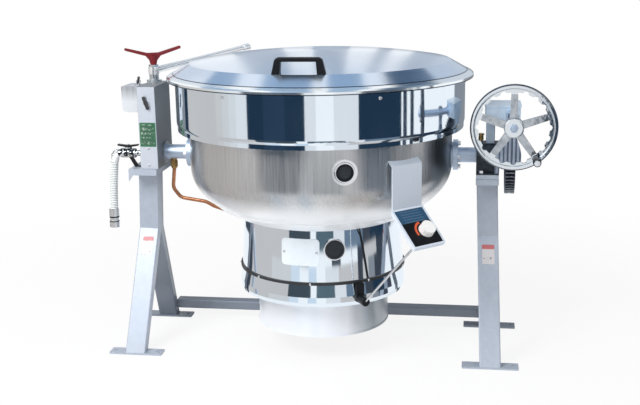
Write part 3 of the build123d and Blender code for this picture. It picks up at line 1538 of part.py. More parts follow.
# Cast handwheel: a round rim with a scalloped inner edge, tapered spokes, a deep hub and the grip's pin.
wheel_plane = Plane(origin=(worm_x, wheel_y, worm_z), x_dir=(1, 0, 0), z_dir=(0, -1, 0))
rim_inner = wheel_radius - wheel_rim
scallop_ring = rim_inner - scallop_depth
spoke_length = rim_inner - wheel_hub_radius + 2 * scallop_depth
spoke_slope = 90 - degrees(atan2((spoke_root - spoke_tip) / 2, spoke_length))
grip_u = grip_circle * cos(radians(grip_angle))
grip_v = grip_circle * sin(radians(grip_angle))
grip_seat = spoke_thickness / 2 + grip_boss_height
grip_start = grip_seat + seat_gap
pin_length = grip_length + 2 * seat_gap
with BuildPart() as handwheel:
    with BuildSketch(wheel_plane.offset(-wheel_rim_depth / 2)):
        Circle(wheel_radius)
        Circle(rim_inner, mode=Mode.SUBTRACT)
    extrude(amount=wheel_rim_depth)
    fillet(handwheel.edges().filter_by(GeomType.CIRCLE), radius=wheel_rim_round)
    with BuildSketch(wheel_plane.offset(-scallop_thickness / 2)):
        Circle(rim_inner + wheel_rim_round / 2)
        Circle(scallop_ring, mode=Mode.SUBTRACT)
        with PolarLocations(scallop_ring - scallop_radius / 4, wheel_scallops):
            Circle(scallop_radius, mode=Mode.SUBTRACT)
    extrude(amount=scallop_thickness)
    with BuildSketch(wheel_plane.offset(-spoke_thickness / 2)):
        with PolarLocations((wheel_hub_radius + rim_inner) / 2, wheel_spokes, start_angle=90):
            Trapezoid(spoke_root, spoke_length, spoke_slope, rotation=-90)
    extrude(amount=spoke_thickness)
    with BuildSketch(wheel_plane.offset(-wheel_hub_depth / 2)):
        Circle(wheel_hub_radius)
    extrude(amount=wheel_hub_depth)
    fillet(handwheel.faces().sort_by(Axis.Y)[0].edges(), radius=hub_round)
    with BuildSketch(wheel_plane):
        with Locations((grip_u, grip_v)):
            Circle(grip_radius)
    extrude(amount=grip_seat)
    with BuildSketch(wheel_plane.offset(grip_seat)):
        with Locations((grip_u, grip_v)):
            Circle(grip_pin_radius)
    extrude(amount=pin_length)
    with BuildSketch(wheel_plane.offset(grip_seat + pin_length)):
        with Locations((grip_u, grip_v)):
            Circle(grip_head_radius)
    extrude(amount=grip_head_height)
    with BuildSketch(wheel_plane.offset(-wheel_hub_depth)):
        Circle(worm_shaft_radius)
    extrude(amount=2 * wheel_hub_depth, mode=Mode.SUBTRACT)
finish(handwheel, "handwheel")

# Barrel shaped grip that spins on the pin in the wheel's rim.
grip_origin = wheel_plane.from_local_coords(Vector(grip_u, grip_v, 0))
with BuildPart() as crank_grip:
    with BuildSketch(Plane(origin=grip_origin, x_dir=(1, 0, 0), z_dir=(0, 0, 1))):
        with BuildLine():
            barrel = ThreePointArc(
                (grip_radius - 3, -grip_start),
                (grip_radius, -grip_start - grip_length * 0.6),
                (grip_radius - 2, -grip_start - grip_length),
            )
            bore = Line(
                (grip_pin_radius + shaft_fit, -grip_start - grip_length),
                (grip_pin_radius + shaft_fit, -grip_start),
            )
            Line(barrel @ 1, bore @ 0)
            Line(bore @ 1, barrel @ 0)
        make_face()
    revolve(axis=Axis(grip_origin, (0, 1, 0)))
finish(crank_grip, "crank_grip")
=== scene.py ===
from math import cos, degrees, pi, radians, sin, tau

import bpy
from mathutils import Matrix, Vector


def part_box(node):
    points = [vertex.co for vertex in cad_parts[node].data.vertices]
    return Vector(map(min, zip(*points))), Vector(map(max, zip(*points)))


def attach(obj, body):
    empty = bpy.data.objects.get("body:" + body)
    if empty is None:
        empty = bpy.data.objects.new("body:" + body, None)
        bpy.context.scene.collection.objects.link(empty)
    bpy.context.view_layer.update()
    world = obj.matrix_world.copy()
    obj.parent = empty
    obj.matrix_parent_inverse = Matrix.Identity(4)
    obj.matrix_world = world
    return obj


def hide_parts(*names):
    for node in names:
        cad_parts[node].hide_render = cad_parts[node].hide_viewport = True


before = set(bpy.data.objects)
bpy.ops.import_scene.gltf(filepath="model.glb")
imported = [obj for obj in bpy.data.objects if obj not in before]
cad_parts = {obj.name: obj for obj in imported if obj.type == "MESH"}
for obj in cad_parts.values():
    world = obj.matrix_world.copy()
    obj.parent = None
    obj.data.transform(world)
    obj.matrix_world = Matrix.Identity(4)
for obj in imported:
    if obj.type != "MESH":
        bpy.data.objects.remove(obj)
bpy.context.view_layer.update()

# Tilting steam jacketed kettle between two splayed stands. Metres; Z is up, X runs along the
# tilt axis to the handwheel stand, and the cook stands at -Y. The solids come from the frame;
# this file gives them their finishes and adds screws, plates, print, hose and worm thread.

# ---------------- camera
# A long lens at a standing cook's height, a little to the right of the kettle's middle and
# looking slightly down, with the small roll of a hand held camera.
camera_place = Vector((0.4858, -3.2203, 1.2486))
camera_turn = radians(8.69)
camera_dip = radians(13.52)
camera_roll = radians(0.97)
camera_data = bpy.data.cameras.new("camera")
camera_data.sensor_width = 36.0
camera_data.lens = 58.64
camera = bpy.data.objects.new("camera", camera_data)
camera.matrix_world = (
    Matrix.Translation(camera_place)
    @ Matrix.Rotation(camera_turn, 4, "Z")
    @ Matrix.Rotation(pi / 2 - camera_dip, 4, "X")
    @ Matrix.Rotation(-camera_roll, 4, "Z")
)
bpy.context.scene.collection.objects.link(camera)
bpy.context.scene.camera = camera


# ---------------- gas hose
# White ribbed plastic hose that hangs from the gas elbow to a screwed steel coupling. Its
# ribs are moulded on, one every few millimetres.
class Amount:
    """One number that varies over a surface; sums on it add Math nodes."""

    def __init__(self, tree, socket):
        self.tree, self.socket = tree, socket

    def maths(self, operation, first, second=0.0):
        return self.tree.node("ShaderNodeMath", {"operation": operation}, {0: first, 1: second})

    def __add__(self, other):
        return self.maths("ADD", self, other)

    def __sub__(self, other):
        return self.maths("SUBTRACT", self, other)

    def __rsub__(self, other):
        return self.maths("SUBTRACT", other, self)

    def __mul__(self, other):
        return self.maths("MULTIPLY", self, other)

    def __lt__(self, other):
        return self.maths("LESS_THAN", self, other)

    def __gt__(self, other):
        return self.maths("GREATER_THAN", self, other)

    def size(self):
        return self.maths("ABSOLUTE", self)

    def power(self, exponent):
        return self.maths("POWER", self, exponent)

    def reach(self, other):
        """Distance from an axis, of which this and the other are the two parts."""
        return (self.power(2.0) + other.power(2.0)).power(0.5)

    __radd__ = __add__
    __rmul__ = __mul__


class Tree:
    """The nodes of a finish or of the surroundings."""

    def __init__(self, owner):
        owner.use_nodes = True
        self.nodes, self.links = owner.node_tree.nodes, owner.node_tree.links

    def node(self, kind, settings=None, inputs=None, output=0):
        """Add a node, make its settings, then fill its sockets with numbers or links."""
        made = self.nodes.new(kind)
        for name, value in (settings or {}).items():
            if name == "stops":
                ramp = made.color_ramp
                ramp.elements.remove(ramp.elements[1])
                for place, colour in value[1:]:
                    ramp.elements.new(place).color = (*colour, 1.0)
                ramp.elements[0].position, ramp.elements[0].color = value[0][0], (*value[0][1], 1.0)
            else:
                setattr(made, name, value)
        for name, value in (inputs or {}).items():
            if isinstance(value, Amount):
                self.links.new(value.socket, made.inputs[name])
            else:
                made.inputs[name].default_value = value
        return Amount(self, made.outputs[output]) if made.outputs else None

    def rise(self, amount, start, end, low=0.0, high=1.0):
        """Amount that goes from low to high while another goes from start to end."""
        inputs = {"Value": amount, "From Min": start, "From Max": end}
        inputs.update({"To Min": low, "To Max": high})
        return self.node("ShaderNodeMapRange", {}, inputs)

    def blend(self, share, first, second):
        """Colour that goes from the first to the second with the share."""
        colours = [c if isinstance(c, Amount) else (*c, 1.0) for c in (first, second)]
        return self.node(
            "ShaderNodeMix", {"data_type": "RGBA"}, {0: share, 6: colours[0], 7: colours[1]}, 2
        )


class Finish(Tree):
    """A surface finish. The slot, the record's material that it stands for, is kept but not used.
    """

    def __init__(self, name, slot, **constants):
        self.material = bpy.data.materials.new(name)
        self.slot = slot
        super().__init__(self.material)
        self.shader = self.nodes["Principled BSDF"]
        for socket, value in constants.items():
            self.shader.inputs[socket.replace("_", " ")].default_value = value

    def drive(self, socket, amount):
        self.links.new(amount.socket, self.shader.inputs[socket])

    def tint(self, share, first, second):
        """Base colour that goes from the first to the second with the share."""
        self.drive("Base Color", self.blend(share, first, second))

    def dull(self, amount):
        """Roughness, from 0 for a mirror to 1 for a matt surface."""
        self.drive("Roughness", amount)

    def place(self):
        return self.node("ShaderNodeTexCoord", output="Object")

    def axis(self, index):
        """Coordinate of the surface along X, Y or Z."""
        return self.node("ShaderNodeSeparateXYZ", {}, {0: self.place()}, index)

    def grain(self, stretch, detail=2.0, roughness=0.5):
        """Noise, with its grains per metre: one number, or one for each of X, Y and Z."""
        stretch = stretch if isinstance(stretch, tuple) else (stretch,) * 3
        scaled = self.node(
            "ShaderNodeVectorMath", {"operation": "MULTIPLY"}, {0: self.place(), 1: stretch}
        )
        inputs = {"Vector": scaled, "Scale": 1.0, "Detail": detail, "Roughness": roughness}
        return self.node("ShaderNodeTexNoise", {}, inputs)

    def along(self, origin, direction):
        """Distance from an origin along a direction."""
        moved = self.node(
            "ShaderNodeVectorMath", {"operation": "SUBTRACT"}, {0: self.place(), 1: tuple(origin)}
        )
        return self.node(
            "ShaderNodeVectorMath",
            {"operation": "DOT_PRODUCT"},
            {0: moved, 1: tuple(direction)},
            "Value",
        )

    def relief(self, height, depth, strength=1.0):
        """Raise the surface by a height of up to that depth, in metres."""
        inputs = {"Height": height, "Distance": depth, "Strength": strength}
        self.drive("Normal", self.node("ShaderNodeBump", {}, inputs))

    def dress(self, *nodes):
        """Give this finish to solids of the frame."""
        for name in nodes:
            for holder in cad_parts[name].material_slots:
                holder.material = self.material


def made(name, vertices, faces, body, finish):
    """Link a mesh as a piece that rides on a body."""
    mesh = bpy.data.meshes.new(name)
    mesh.from_pydata([tuple(v) for v in vertices], [], faces)
    mesh.materials.append(finish.material)
    mesh.shade_smooth()
    mesh.set_sharp_from_angle(angle=radians(38))
    piece = bpy.data.objects.new(name, mesh)
    bpy.context.scene.collection.objects.link(piece)
    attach(piece, body)
    return piece


def turned(profile, at, along, sides=28):
    """Vertices and faces of a turned piece from its (radius, height) profile, closed by its
    first and last points, which lie on the axis."""
    turn = Vector(along).normalized().to_track_quat("Z", "Y").to_matrix()
    at = Vector(at)
    vertices, rings = [], []
    for radius, height in profile:
        count = 1 if radius == 0 else sides
        rings.append(range(len(vertices), len(vertices) + count))
        for k in range(count):
            angle = tau * k / sides
            spot = Vector((radius * cos(angle), radius * sin(angle), height))
            vertices.append(at + turn @ spot)
    faces = []
    for low, high in zip(rings, rings[1:]):
        for k in range(sides):
            n = (k + 1) % sides
            face = [low[k % len(low)], low[n % len(low)], high[n % len(high)], high[k % len(high)]]
            faces.append(tuple(dict.fromkeys(face)))
    return vertices, faces


def gathered(solids):
    """Several solids as the vertices and faces of one mesh."""
    vertices, faces = [], []
    for some, sides in solids:
        start = len(vertices)
        vertices += some
        faces += [tuple(start + i for i in side) for side in sides]
    return vertices, faces


hose_points = [
    (-0.6715, -0.040, 0.598),
    (-0.6806, -0.040, 0.520),
    (-0.6826, -0.040, 0.442),
]
hose_core_radius = 0.0120
hose_rib_radius = 0.0135
hose_rib_pitch = 0.0058

hose_finish = Finish("white hose plastic", "hose", Roughness=0.42, Specular_IOR_Level=0.45)
hose_soil = hose_finish.grain((60.0, 60.0, 25.0), 4.0)
hose_finish.tint(hose_soil, (0.96, 0.97, 0.97), (0.88, 0.90, 0.90))
hose_finish.relief(hose_finish.grain(400.0), 0.0004, 0.3)
# The hose's core between the ribs is a mottled darker grey: painted shade in the grooves.
hose_groove_shade = Finish("hose grooves in painted shade", "hose", Roughness=0.6, Specular_IOR_Level=0.3)
groove_shade_mottle = hose_groove_shade.grain((60.0, 60.0, 25.0), 4.0)
hose_groove_shade.tint(groove_shade_mottle, (0.50, 0.55, 0.55), (0.36, 0.40, 0.40))

hose_line = bpy.data.curves.new("gas_hose_line", "CURVE")
hose_line.dimensions = "3D"
hose_spline = hose_line.splines.new("NURBS")
hose_spline.points.add(len(hose_points) - 1)
for point, place in zip(hose_spline.points, hose_points):
    point.co = (*place, 1.0)
hose_spline.order_u = 3
hose_spline.use_endpoint_u = True
hose_spline.resolution_u = 24
hose = bpy.data.objects.new("ribbed_hose", hose_line)
bpy.context.scene.collection.objects.link(hose)
hose_route = bpy.data.meshes.new_from_object(hose)
route = [v.co.copy() for v in hose_route.vertices]
hose_line.bevel_depth = hose_core_radius
hose_line.bevel_resolution = 8
hose_line.materials.append(hose_groove_shade.material)
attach(hose, "stand")
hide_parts("gas_hose")


def stations(points, pitch):
    """Places and directions at an even pitch along a line of points."""
    travelled, due = 0.0, pitch / 2
    for start, end in zip(points, points[1:]):
        step = (end - start).length
        while step and travelled + step >= due:
            yield start.lerp(end, (due - travelled) / step), (end - start).normalized()
            due += pitch
        travelled += step


rib_sides = 36
rib_half = hose_rib_pitch * 0.3
rib_crest = rib_half * 0.4
rib_root_radius = hose_core_radius - 0.0004
rib_profile = [
    (0, -rib_half), (rib_root_radius, -rib_half), (hose_rib_radius, -rib_crest),
    (hose_rib_radius, rib_crest), (rib_root_radius, rib_half), (0, rib_half),
]
ribs = [
    turned(rib_profile, at, along, rib_sides) for at, along in stations(route, hose_rib_pitch)
]
hose_ribs = made("hose_ribs", *gathered(ribs), "stand", hose_finish)

# ---------------- elbow sleeve
# Short ribbed sleeve of the same white plastic, pushed over the bend of the gas elbow down to
# the end of the hose.
sleeve_centre = Vector((-0.654, -0.040, 0.614))
sleeve_bend = 0.014
sleeve_ring_pitch = 0.0034
sleeve_line = [
    sleeve_centre + sleeve_bend * Vector((-sin(radians(a)), 0, cos(radians(a))))
    for a in range(0, 91, 6)
]
sleeve_line.append(Vector(hose_points[0]))
sleeve_rings = [
    turned(rib_profile, at, along, rib_sides)
    for at, along in stations(sleeve_line, sleeve_ring_pitch)
]
made("elbow_sleeve", *gathered(sleeve_rings), "stand", hose_finish)

# ---------------- stands
# Splayed legs of pressed steel channel with foot plates and a rear beam, sprayed with a
# silver grey hammer paint. The caps carry the head box and the bearing.
stand_paint = Finish("silver grey stand paint", "grey_paint", Metallic=0.25, Coat_Weight=0.15)
stand_patches = stand_paint.grain((7.0, 7.0, 3.0), 4.0)
stand_wear = stand_paint.grain(60.0, 5.0, 0.7).power(3.0)
stand_colour = stand_paint.blend(stand_patches, (0.36, 0.41, 0.50), (0.48, 0.54, 0.63))
# The rear legs and rear beam are painted darker towards the back as painted shade, more strongly
# higher up, and the lighter wear spots fade out under that painted shade.
stand_shade_start, stand_shade_end = -0.04, 0.10
stand_shade_height_start, stand_shade_height_end = 0.10, 0.30
stand_rear_shade = stand_paint.rise(stand_paint.axis(1), stand_shade_start, stand_shade_end)
stand_shade_height = stand_paint.rise(stand_paint.axis(2), stand_shade_height_start, stand_shade_height_end, 0.62, 0.92)
stand_colour = stand_paint.blend(stand_rear_shade * stand_shade_height, stand_colour, (0.06, 0.08, 0.105))
stand_wear = stand_wear * (1.0 - stand_rear_shade)
stand_paint.tint(stand_wear, stand_colour, (0.62, 0.66, 0.72))
stand_paint.dull(0.34 + stand_patches * 0.2)
stand_paint.relief(stand_paint.grain(260.0, 1.0), 0.0005, 0.35)
stand_paint.dress(
    "left_front_leg", "left_rear_leg", "right_front_leg", "right_rear_leg", "foot_plates",
    "rear_beam", "left_cap", "right_cap",
)

# ---------------- label plates
# Small bare plates stuck on the front legs just below the bend: white plastic, dirty and
# rubbed, with a red band along the top.
leg_label_width = 0.038
leg_label_height = 0.062
leg_label_thickness = 0.0006
leg_label_z = 0.3215
leg_label_band_z = 0.337
leg_bend_zone = (0.34, 0.41)
leg_foot_zone = (-1.0, 0.06)
leg_slice = 0.003

plate_white = Finish("white label plate", "white_plastic", Roughness=0.3)
plate_print = plate_white.grain(300.0, 3.0)
plate_ground = plate_white.blend(plate_print, (0.74, 0.73, 0.74), (0.58, 0.56, 0.58))
plate_rubs = plate_white.grain((95.0, 95.0, 70.0), 3.0, 0.7) > 0.62
plate_ground = plate_white.blend(plate_rubs * 0.8, plate_ground, (0.10, 0.10, 0.13))
plate_band = plate_white.axis(2) > leg_label_band_z
plate_white.tint(plate_band * 0.85, plate_ground, (0.50, 0.06, 0.07))


def plate(centre, across, up, width, height, thickness, corner=0.003, steps=5):
    """Vertices and faces of a flat plate with rounded corners, standing on its back face."""
    across, up = Vector(across).normalized(), Vector(up).normalized()
    out = across.cross(up)
    outline = []
    for quarter, (sx, sy) in enumerate(((1, 1), (-1, 1), (-1, -1), (1, -1))):
        for k in range(steps + 1):
            angle = pi / 2 * (quarter + k / steps)
            outline.append(
                across * (sx * (width / 2 - corner) + corner * cos(angle))
                + up * (sy * (height / 2 - corner) + corner * sin(angle))
            )
    edge = thickness * 0.35
    centre = Vector(centre)
    inner = [p * (1 - edge / max(width, height) * 2) for p in outline]
    vertices = [centre + p for p in outline]
    vertices += [centre + p + out * (thickness - edge) for p in outline]
    vertices += [centre + p + out * thickness for p in inner]
    count = len(outline)
    faces = [tuple(reversed(range(count))), tuple(range(2 * count, 3 * count))]
    for level in (0, count):
        for k in range(count):
            n = (k + 1) % count
            faces.append((level + k, level + n, level + count + n, level + count + k))
    return vertices, faces


for side in ("left", "right"):
    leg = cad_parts[side + "_front_leg"].data
    # The leg's front face below the bend: its foremost line runs straight to the foot.
    corners = [v.co for v in leg.vertices]
    ends = []
    for low, high in (leg_bend_zone, leg_foot_zone):
        edge = min((c for c in corners if low < c.z < high), key=lambda c: c.y)
        xs = [c.x for c in corners if abs(c.z - edge.z) < leg_slice]
        ends.append(Vector(((min(xs) + max(xs)) / 2, edge.y, edge.z)))
    bend, foot = ends
    at = bend.lerp(foot, (bend.z - leg_label_z) / (bend.z - foot.z))
    up = bend - foot
    label = plate(at, (1, 0, 0), up, leg_label_width, leg_label_height, leg_label_thickness)
    made(side + "_leg_plate", *label, "stand", plate_white)

# ---------------- left head
# Folded sheet steel box over the left bearing with a screwed front cover, a side cover with
# its vent, a quarter turn lock and a green printed plate without words.
pale_sheet = Finish("pale satin sheet", "satin_steel", Metallic=0.55, Anisotropic=0.4)
sheet_streaks = pale_sheet.grain((420.0, 420.0, 14.0), 3.0)
sheet_clouds = pale_sheet.grain(9.0, 3.0)
sheet_colour = pale_sheet.blend(sheet_streaks, (0.72, 0.78, 0.88), (0.82, 0.87, 0.96))
sheet_colour = pale_sheet.blend(sheet_clouds * 0.4, sheet_colour, (0.62, 0.67, 0.76))
# The left side face is painted paler than the front as a painted highlight, with dark streaks
# towards its top as painted reflection.
side_face_x = -0.5705
side_reflection_start, side_reflection_end = 0.795, 0.835
sheet_side = pale_sheet.axis(0) < side_face_x
side_reflection_rise = pale_sheet.rise(pale_sheet.axis(2), side_reflection_start, side_reflection_end)
side_reflection_streaks = pale_sheet.grain((90.0, 90.0, 5.0), 4.0, 0.65)
side_painted_light = pale_sheet.blend(side_reflection_rise * side_reflection_streaks, (0.88, 0.92, 0.97), (0.05, 0.06, 0.08))
pale_sheet.tint(sheet_side, sheet_colour, side_painted_light)
pale_sheet.dull(0.26 + sheet_streaks * 0.18)
pale_sheet.relief(sheet_streaks, 0.0002, 0.3)
pale_sheet.dress("head_cover", "side_cover")

dark_sheet = Finish("dull grey sheet", "satin_steel", Metallic=0.7, Anisotropic=0.3)
dull_streaks = dark_sheet.grain((300.0, 300.0, 10.0), 3.0)
dark_sheet.tint(dull_streaks, (0.20, 0.22, 0.24), (0.30, 0.32, 0.34))
dark_sheet.dull(0.38 + dull_streaks * 0.16)
dark_sheet.dress("head_box")

bush_bronze = Finish("oiled bearing metal", "gear_steel", Metallic=1.0, Roughness=0.3)
bush_rings = bush_bronze.grain((900.0, 40.0, 40.0))
bush_bronze.tint(bush_rings, (0.34, 0.36, 0.40), (0.50, 0.52, 0.56))
bush_bronze.dress("left_bush")

bright_screws = Finish("bright screw heads", "bright_steel", Metallic=1.0)
screw_marks = bright_screws.grain(700.0, 2.0)
bright_screws.tint(screw_marks, (0.72, 0.73, 0.75), (0.88, 0.89, 0.9))
bright_screws.dull(0.12 + screw_marks * 0.16)


def screw_profile(radius, height):
    """Round head with a small dimple for the bit, its foot a little inside the piece."""
    foot = -0.0008
    return [
        (0, foot),
        (radius, foot),
        (radius, height * 0.35),
        (radius * 0.86, height * 0.74),
        (radius * 0.56, height * 0.96),
        (radius * 0.3, height),
        (radius * 0.22, height * 0.55),
        (0, height * 0.5),
    ]


cover_lo, cover_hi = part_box("head_cover")
cover_x = (cover_lo.x + cover_hi.x) / 2
cover_screw_heights = (0.596, 0.650)
cover_screws = [
    turned(screw_profile(0.0045, 0.003), (cover_x, cover_lo.y, z), (0, -1, 0))
    for z in cover_screw_heights
]
made("cover_screws", *gathered(cover_screws), "stand", bright_screws)

sign_z = 0.695
sign_width = 0.052
sign_height = 0.077
sign_thickness = 0.0008
sign_border = 0.0045
sign_row_rate = 420.0
green_plate = Finish("green printed plate", "panel_film", Roughness=0.32, Coat_Weight=0.4)
print_x = green_plate.along((cover_x, 0, sign_z), (1, 0, 0))
print_z = green_plate.along((cover_x, 0, sign_z), (0, 0, 1))
print_edge = print_x.size() > sign_width / 2 - sign_border
print_edge = print_edge + (print_z.size() > sign_height / 2 - sign_border)
print_rows = print_z.maths("SINE", print_z * sign_row_rate) > -0.2
print_marks = green_plate.grain((210.0, 210.0, 260.0), 3.0, 0.7) > 0.57
print_field = green_plate.blend(print_rows * print_marks, (0.02, 0.10, 0.05), (0.48, 0.55, 0.50))
print_wear = green_plate.grain(150.0, 4.0)
print_colour = green_plate.blend(print_edge, print_field, (0.02, 0.15, 0.065))
green_plate.tint(print_wear * 0.25, print_colour, (0.12, 0.2, 0.14))
sign_place = (cover_x, cover_lo.y, sign_z)
sign = plate(sign_place, (1, 0, 0), (0, 0, 1), sign_width, sign_height, sign_thickness)
made("green_head_plate", *sign, "stand", green_plate)

lock_black = Finish("black lock", "black_plastic", Roughness=0.35)
lock_scuffs = lock_black.grain(300.0, 3.0)
lock_black.tint(lock_scuffs, (0.012, 0.013, 0.015), (0.06, 0.06, 0.065))
lock_z = 0.796
lock_height = 0.0035
lock_lean = 0.35
lock_disc = turned(
    [(0, 0), (0.0105, 0), (0.0105, 0.002), (0.009, lock_height), (0, lock_height)],
    (cover_x, cover_lo.y, lock_z),
    (0, -1, 0),
)
made("lock_rosette", *lock_disc, "stand", bright_screws)
lock_place = (cover_x, cover_lo.y - lock_height, lock_z)
lock_lever = plate(lock_place, (1, 0, lock_lean), (-lock_lean, 0, 1), 0.010, 0.044, 0.006, 0.004)
made("lock_lever", *lock_lever, "stand", lock_black)

toggle_place = (-0.5893, -0.004, 0.854)
toggle_lean = 0.25
toggle_profile = [
    (0, -0.010), (0.0035, -0.010), (0.0035, 0.010), (0.005, 0.012), (0.0035, 0.016), (0, 0.017),
]
toggle = turned(toggle_profile, toggle_place, (toggle_lean, 0.0, 1.0))
made("vent_toggle", *toggle, "stand", lock_black)

# ---------------- water tap
# Column tap on the head box: a chromed body, a long swinging spout with a nozzle, and a
# red lacquered wing handle.
tap_chrome = Finish("chromed brass", "bright_steel", Metallic=0.75)
tap_haze = tap_chrome.grain(40.0, 4.0)
tap_chrome.tint(tap_haze, (0.92, 0.93, 0.94), (0.97, 0.98, 0.99))
tap_chrome.dull(0.08 + tap_haze * 0.1)
tap_chrome.dress("spout")

# The tap body's chrome is patched with dark tones as painted reflection; the same noise varies its
# roughness and dents it.
tap_dark = Finish("tap chrome with painted reflections", "gear_steel", Metallic=1.0)
tap_painted_reflections = tap_dark.grain(120.0, 5.0, 0.65)
tap_dark.tint(tap_painted_reflections.power(2.0), (0.86, 0.90, 0.92), (0.10, 0.13, 0.14))
tap_dark.dull(0.12 + tap_painted_reflections * 0.2)
tap_dark.relief(tap_painted_reflections, 0.0006, 0.3)
tap_dark.dress("tap_body")

wing_red = Finish(
    "red lacquer", "red_paint", Specular_IOR_Level=0.3, Coat_Weight=0.15, Coat_Roughness=0.12
)
wing_chips = wing_red.grain(90.0, 4.0)
wing_red.tint(wing_chips, (0.24, 0.013, 0.018), (0.13, 0.009, 0.012))
wing_red.dull(0.28 + wing_chips * 0.2)
wing_red.relief(wing_red.grain(350.0), 0.0003, 0.2)
wing_red.dress("tap_handle")

# ---------------- gas cock
# Plated cock with an elbow to the hose, a black lever and a black strap that holds them to
# the head box.
# The fitting's plating is patched with near black as painted reflection; the same noise varies its
# roughness.
cock_plate = Finish("plated gas fitting with painted reflections", "brass", Metallic=1.0)
cock_painted_reflections = cock_plate.grain(140.0, 4.0)
cock_plate.tint(cock_painted_reflections > 0.52, (0.02, 0.024, 0.03), (0.80, 0.84, 0.86))
cock_plate.dull(0.2 + cock_painted_reflections * 0.25)
cock_plate.dress("gas_cock")
black_lacquer = Finish("black lacquered steel", "black_paint", Specular_IOR_Level=0.18)
lacquer_rub = black_lacquer.grain(160.0, 5.0, 0.65)
black_lacquer.tint(lacquer_rub, (0.003, 0.004, 0.006), (0.02, 0.022, 0.026))
black_lacquer.dull(0.22 + lacquer_rub * 0.25)
black_lacquer.relief(lacquer_rub, 0.0004, 0.25)
black_lacquer.dress("gas_lever", "gas_strap")
coupling_steel = Finish("turned coupling steel", "bright_steel", Metallic=1.0)
coupling_rings = coupling_steel.grain((60.0, 60.0, 1500.0), 2.0)
coupling_z = coupling_steel.axis(2)
upper_line_z, upper_line_half = 0.4155, 0.0022
lower_line_z, lower_line_half = 0.4005, 0.0016
upper_line = (coupling_z - upper_line_z).size() < upper_line_half
lower_line = (coupling_z - lower_line_z).size() < lower_line_half
coupling_colour = coupling_steel.blend(coupling_rings, (0.62, 0.63, 0.65), (0.84, 0.85, 0.86))
coupling_steel.tint(upper_line + lower_line, coupling_colour, (0.03, 0.035, 0.04))
coupling_steel.dull(0.18 + coupling_rings * 0.2)
coupling_steel.dress("hose_coupling")

# ---------------- bowl and jacket
# Spun stainless bowl in a steam jacket. The jacket is ground with upright strokes, and the
# drum skin round its top is polished to a mirror and held by a few screws.
jacket_ground = Finish(
    "upright ground steel", "satin_steel", Metallic=1.0, Anisotropic=0.55, Anisotropic_Rotation=0.25
)
jacket_strokes = jacket_ground.grain((230.0, 230.0, 5.0), 4.0, 0.6)
jacket_hazes = jacket_ground.grain((22.0, 22.0, 1.4), 2.0)
# Low on the jacket the colour turns near white and less metallic as a painted highlight, and the
# strokes fade there.
jacket_highlight_start, jacket_highlight_end = 0.560, 0.500
# Towards its right side (+X) the jacket is painted dark blue as painted shade.
jacket_shade_start, jacket_shade_end = 0.335, 0.40
jacket_low_highlight = jacket_ground.rise(jacket_ground.axis(2), jacket_highlight_start, jacket_highlight_end)
jacket_colour = jacket_ground.blend(jacket_strokes, (0.45, 0.455, 0.465), (0.88, 0.875, 0.87))
jacket_colour = jacket_ground.blend(jacket_hazes * 0.5, jacket_colour, (0.40, 0.42, 0.45))
jacket_colour = jacket_ground.blend(jacket_low_highlight, jacket_colour, (0.94, 0.96, 0.985))
jacket_right_shade = jacket_ground.rise(jacket_ground.axis(0), jacket_shade_start, jacket_shade_end)
jacket_ground.tint(jacket_right_shade * 0.8, jacket_colour, (0.05, 0.09, 0.12))
jacket_ground.drive("Metallic", 1.0 - jacket_low_highlight * 0.8)
jacket_ground.dull(0.2 + jacket_strokes * (1.0 - jacket_low_highlight) * 0.2 + jacket_low_highlight * 0.1)
jacket_ground.relief(jacket_strokes * (1.0 - jacket_low_highlight), 0.0003, 0.3)
jacket_ground.dress("steam_jacket", "jacket_skirt")

mirror_steel = Finish("mirror polished steel", "mirror_steel", Metallic=1.0)
mirror_haze = mirror_steel.grain((14.0, 14.0, 5.0), 5.0, 0.6)
mirror_waves = mirror_steel.grain((5.0, 5.0, 1.6), 1.0)
mirror_steel.tint(mirror_haze, (0.76, 0.84, 0.92), (0.84, 0.92, 0.99))
mirror_steel.dull(0.03 + mirror_haze.power(2.0) * 0.12)
mirror_steel.relief(mirror_waves, 0.004, 0.25)
mirror_steel.dress("rim_drum", "burner_casing", "base_belt")
skirt_steel = Finish("satin skirt steel", "mirror_steel", Metallic=0.5)
skirt_haze = skirt_steel.grain((9.0, 9.0, 22.0), 4.0)
skirt_colour = skirt_steel.blend(skirt_haze, (0.86, 0.90, 0.98), (0.93, 0.96, 1.0))
# Towards its right side the skirt is painted dark as painted shade.
skirt_shade_start, skirt_shade_end = 0.10, 0.175
skirt_right_shade = skirt_steel.rise(skirt_steel.axis(0), skirt_shade_start, skirt_shade_end)
skirt_steel.tint(skirt_right_shade * 0.7, skirt_colour, (0.16, 0.20, 0.22))
skirt_steel.dull(0.24 + skirt_haze * 0.14)
skirt_steel.relief(skirt_haze, 0.003, 0.2)
skirt_steel.dress("base_skirt")
blank_steel = Finish("dull blank plate", "satin_steel", Metallic=0.3)
blank_dents = blank_steel.grain((34.0, 34.0, 26.0), 4.0, 0.6)
blank_steel.tint(blank_dents, (0.76, 0.84, 0.92), (0.92, 0.97, 1.0))
blank_steel.dull(0.26 + blank_dents * 0.22)
blank_steel.relief(blank_dents, 0.003, 0.45)
blank_steel.dress("blank_plate")

bowl_satin = Finish("ring brushed bowl steel", "satin_steel", Metallic=1.0, Anisotropic=0.4)
bowl_rings = bowl_satin.grain((18.0, 18.0, 500.0), 3.0)
bowl_satin.tint(bowl_rings, (0.58, 0.61, 0.65), (0.74, 0.77, 0.81))
bowl_satin.dull(0.2 + bowl_rings * 0.15)
bowl_satin.dress("inner_bowl")


def outward(azimuth):
    """Level direction away from the bowl's axis, at degrees from +X."""
    return Vector((cos(radians(azimuth)), sin(radians(azimuth)), 0))


